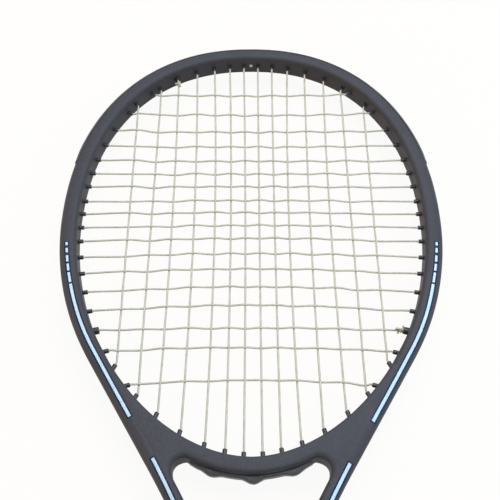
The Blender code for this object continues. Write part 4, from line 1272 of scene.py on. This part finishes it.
# Grip strip, wound up the handle, and the rows of perforations along it
def makeGrip():
    bottom = handle["buttY"] + handle["rim"] + handle["clearance"]
    top = handle["topY"] - grip["belowTop"]
    base = handleRound(0.0)
    count = len(base)
    lengths = [(base[(k + 1) % count] - base[k]).length for k in range(count)]
    around = sum(lengths)
    rings, spots, ways = [], [], []
    travelled, sincePunch, index = 0.0, 0.0, 0
    while True:
        climbed = grip["pitch"] * travelled / around
        high = min(top, bottom + climbed - grip["gap"] / 2)
        low = max(bottom, bottom + climbed - grip["pitch"] + grip["gap"] / 2)
        if low > top - grip["stripEnd"]:
            break
        if high > bottom + grip["stripEnd"]:
            rings.append(gripRing(index, low, high))
            if sincePunch > holesInGrip["spacing"]:
                sincePunch = 0.0
                middle = bottom + climbed - grip["pitch"] / 2
                for row in holesInGrip["rows"]:
                    y = middle + row
                    if low + holesInGrip["margin"] < y < high - holesInGrip["margin"]:
                        place = gripSpot(index, y, grip["thickness"])
                        spots.append(place)
                        ways.append((place - gripSpot(index, y, 0.0)).normalized())
        travelled += lengths[index]
        sincePunch += lengths[index]
        index = (index + 1) % count
    addRings("gripWrap", rings, leatherGrip, "grip_leather", ["grip_wrap"], sharp=grip["sharp"])
    plain = [Vector((1.0, 1.0, 1.0))] * len(spots)
    carrier = pointCarrier("punchPoints", spots, dict(outward=ways, girth=plain))
    values = dict(Radius=holesInGrip["radius"], Bore=holesInGrip["bore"], Length=holesInGrip["height"],
                  Rounding=holesInGrip["rounding"], Material=plasticCap)
    mesh = grown("gripPerforations", carrier, ringTree("punchTree", holesInGrip["segments"]), values)
    addPiece("gripPerforations", mesh, plasticCap, "grip_leather")


tape = dict(length=0.016, inner=0.0020, thickness=0.0004, soft=0.0001)
collar = dict(
    length=0.024, past=0.009, inner=0.0027, wall=0.0015, soft=0.0006, cornerCut=0.3, ribs=4, ribWidth=0.0011,
    ribDepth=0.0005, ribFloor=0.4,
)


def makeTape():
    top = handle["topY"] - grip["belowTop"]
    low, inner, soft = top - tape["length"], tape["inner"], tape["soft"]
    outer = inner + tape["thickness"]
    profile = ((low, inner), (top, inner), (top, outer - soft), (top - soft, outer), (low + soft, outer),
               (low, outer - soft))
    rings = handleRings(profile)
    addRings("finishingTape", rings, vinylTape, "tape_vinyl", ["finishing_tape"], closedRun=True)


def makeCollar():
    high = handle["topY"] + collar["past"]
    low, inner, soft = high - collar["length"], collar["inner"], collar["soft"]
    outer, cut = inner + collar["wall"], soft * collar["cornerCut"]
    profile = [(low, inner), (high, inner), (high, outer - soft), (high - cut, outer - cut),
               (high - soft, outer)]
    spacing = (collar["length"] - 2 * soft) / (collar["ribs"] + 1)
    for k in range(collar["ribs"]):
        middle = high - soft - spacing * (k + 1)
        half, deep = collar["ribWidth"] / 2, collar["ribDepth"]
        floor = half * collar["ribFloor"]
        profile += [(middle + half, outer), (middle + floor, outer - deep), (middle - floor, outer - deep),
                    (middle - half, outer)]
    profile += [(low + soft, outer), (low + cut, outer - cut), (low, outer - soft)]
    rings = handleRings(profile)
    addRings("gripCollar", rings, rubberCollar, "collar_rubber", ["grip_collar"], body="collar",
             closedRun=True)


cap = dict(
    endWall=0.003, skirt=0.032, wall=0.0012, soft=0.0012, cornerCut=0.3, rimSoft=0.5, rimCut=0.15,
    recess=0.0007, recessIn=0.0034, recessTo=-0.006,
)


def makeButtCap():
    butt, soft = handle["buttY"], cap["soft"]
    rim, full = butt + handle["rim"], handle["flare"] + handle["lip"]
    inside, recess, recessOut = -cap["wall"], butt + cap["recess"], full - cap["recessIn"]
    cut, rimSoft, rimCut = soft * cap["cornerCut"], soft * cap["rimSoft"], soft * cap["rimCut"]
    profile = [
        (butt + cap["endWall"], inside), (butt + cap["skirt"], inside), (butt + cap["skirt"], 0.0),
        (butt + handle["flareStart"], 0.0), (rim, handle["flare"]), (rim, full - rimSoft),
        (rim - rimCut, full - rimCut), (rim - rimSoft, full), (butt + soft, full), (butt + cut, full - cut),
        (butt, full - soft), (butt, recessOut), (recess, recessOut - cap["recess"]),
        (recess, cap["recessTo"]),
    ]
    addRings("buttCap", handleRings(profile), plasticCap, "cap_plastic", ["butt_cap"])


makeGrip()
makeTape()
makeCollar()
makeButtCap()

# Solids that keep their own shape
foamHandle, steelNail = handleFoam(), brushedSteel()
for nodeName, material in (("handle_pallet_front", foamHandle), ("handle_pallet_back", foamHandle),
                           ("butt_cap_nail_front", steelNail), ("butt_cap_nail_back", steelNail)):
    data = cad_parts[nodeName].data
    data.materials.clear()
    data.materials.append(material)
print("handle made")


# Studio: pale floor, white background, soft lamps
studio = dict(
    floorSize=6.0, floorRough=0.9, floorColour=(0.88, 0.72, 0.53), floorGlow=0.93,
    skyColour=(0.97, 0.98, 1.0), sky=0.30,
    lamps=(
        dict(name="lampOverhead", place=(0.2, 0.75, 1.6), aim=(0.0, 0.15, 0.0), size=1.6, power=28.0,
             colour=(0.80, 0.89, 1.0)),
        dict(name="lampRight", place=(0.80, 0.05, 0.62), aim=(0.10, 0.10, 0.0), size=0.8, power=4.8,
             colour=(0.45, 0.70, 1.0)),
        dict(name="lampLeft", place=(-1.4, -0.2, 0.7), aim=(0.0, 0.10, 0.0), size=1.2, power=6.0,
             colour=(1.0, 0.74, 0.48)),
    ),
)


# One look for the camera and mirrored views, another for the light that reaches the piece
def whiteToCamera(tree, seen, lit):
    path = addNode(tree, "ShaderNodeLightPath").outputs
    first = addNode(tree, "ShaderNodeMath", {0: path["Is Camera Ray"], 1: path["Is Glossy Ray"]},
                    operation="MAXIMUM")
    second = addNode(tree, "ShaderNodeMath", {0: first.outputs[0], 1: path["Is Transmission Ray"]},
                     operation="MAXIMUM")
    mix = addNode(tree, "ShaderNodeMixShader", {"Fac": second.outputs[0], 1: lit, 2: seen})
    return mix.outputs["Shader"]


def makeWorld(scene):
    world = bpy.data.worlds.new("studioWorld")
    world.use_nodes = True
    scene.world = world
    nodes = world.node_tree.nodes
    light = nodes["Background"]
    light.inputs["Color"].default_value = (*studio["skyColour"], 1.0)
    light.inputs["Strength"].default_value = studio["sky"]
    white = {"Color": (1.0, 1.0, 1.0, 1.0), "Strength": 1.0}
    seen = addNode(world.node_tree, "ShaderNodeBackground", white).outputs[0]
    shown = whiteToCamera(world.node_tree, seen, light.outputs[0])
    world.node_tree.links.new(shown, nodes["World Output"].inputs["Surface"])


def makeFloor(scene):
    half = studio["floorSize"] / 2
    mesh = bpy.data.meshes.new("floor")
    corners = [(-half, -half, 0.0), (half, -half, 0.0), (half, half, 0.0), (-half, half, 0.0)]
    mesh.from_pydata(corners, [], [(0, 1, 2, 3)])
    floor = bpy.data.objects.new("floor", mesh)
    scene.collection.objects.link(floor)
    paper = newMaterial("floorPaper", studio["floorColour"], studio["floorRough"])
    tree = paper.node_tree
    bare = tree.nodes["Principled BSDF"].outputs[0]
    glow = addNode(tree, "ShaderNodeEmission", {"Color": (1.0, 1.0, 1.0, 1.0)}).outputs[0]
    blend = addNode(tree, "ShaderNodeMixShader", {"Fac": studio["floorGlow"], 1: bare, 2: glow}).outputs[0]
    shown = whiteToCamera(tree, blend, bare)
    tree.links.new(shown, tree.nodes["Material Output"].inputs["Surface"])
    mesh.materials.append(paper)


def makeLamps(scene):
    for given in studio["lamps"]:
        data = bpy.data.lights.new(given["name"], "AREA")
        data.shape = "DISK"
        data.size, data.energy, data.color = given["size"], given["power"], given["colour"]
        lamp = bpy.data.objects.new(given["name"], data)
        lamp.location = given["place"]
        aim = Vector(given["aim"]) - Vector(given["place"])
        lamp.rotation_euler = aim.to_track_quat("-Z", "Y").to_euler()
        scene.collection.objects.link(lamp)


def makeCamera(scene):
    data = bpy.data.cameras.new("photoCamera")
    data.lens, data.sensor_width = photoView["lens"], photoView["sensor"]
    camera = bpy.data.objects.new("photoCamera", data)
    camera.location = (photoView["x"], photoView["y"], hoop["planeZ"] + photoView["height"])
    camera.rotation_euler = (math.radians(photoView["tilt"]), 0.0, 0.0)
    scene.collection.objects.link(camera)
    scene.camera = camera
    scene.view_settings.view_transform = "Standard"


for make in (makeWorld, makeFloor, makeLamps, makeCamera):
    make(bpy.context.scene)
print("studio made")
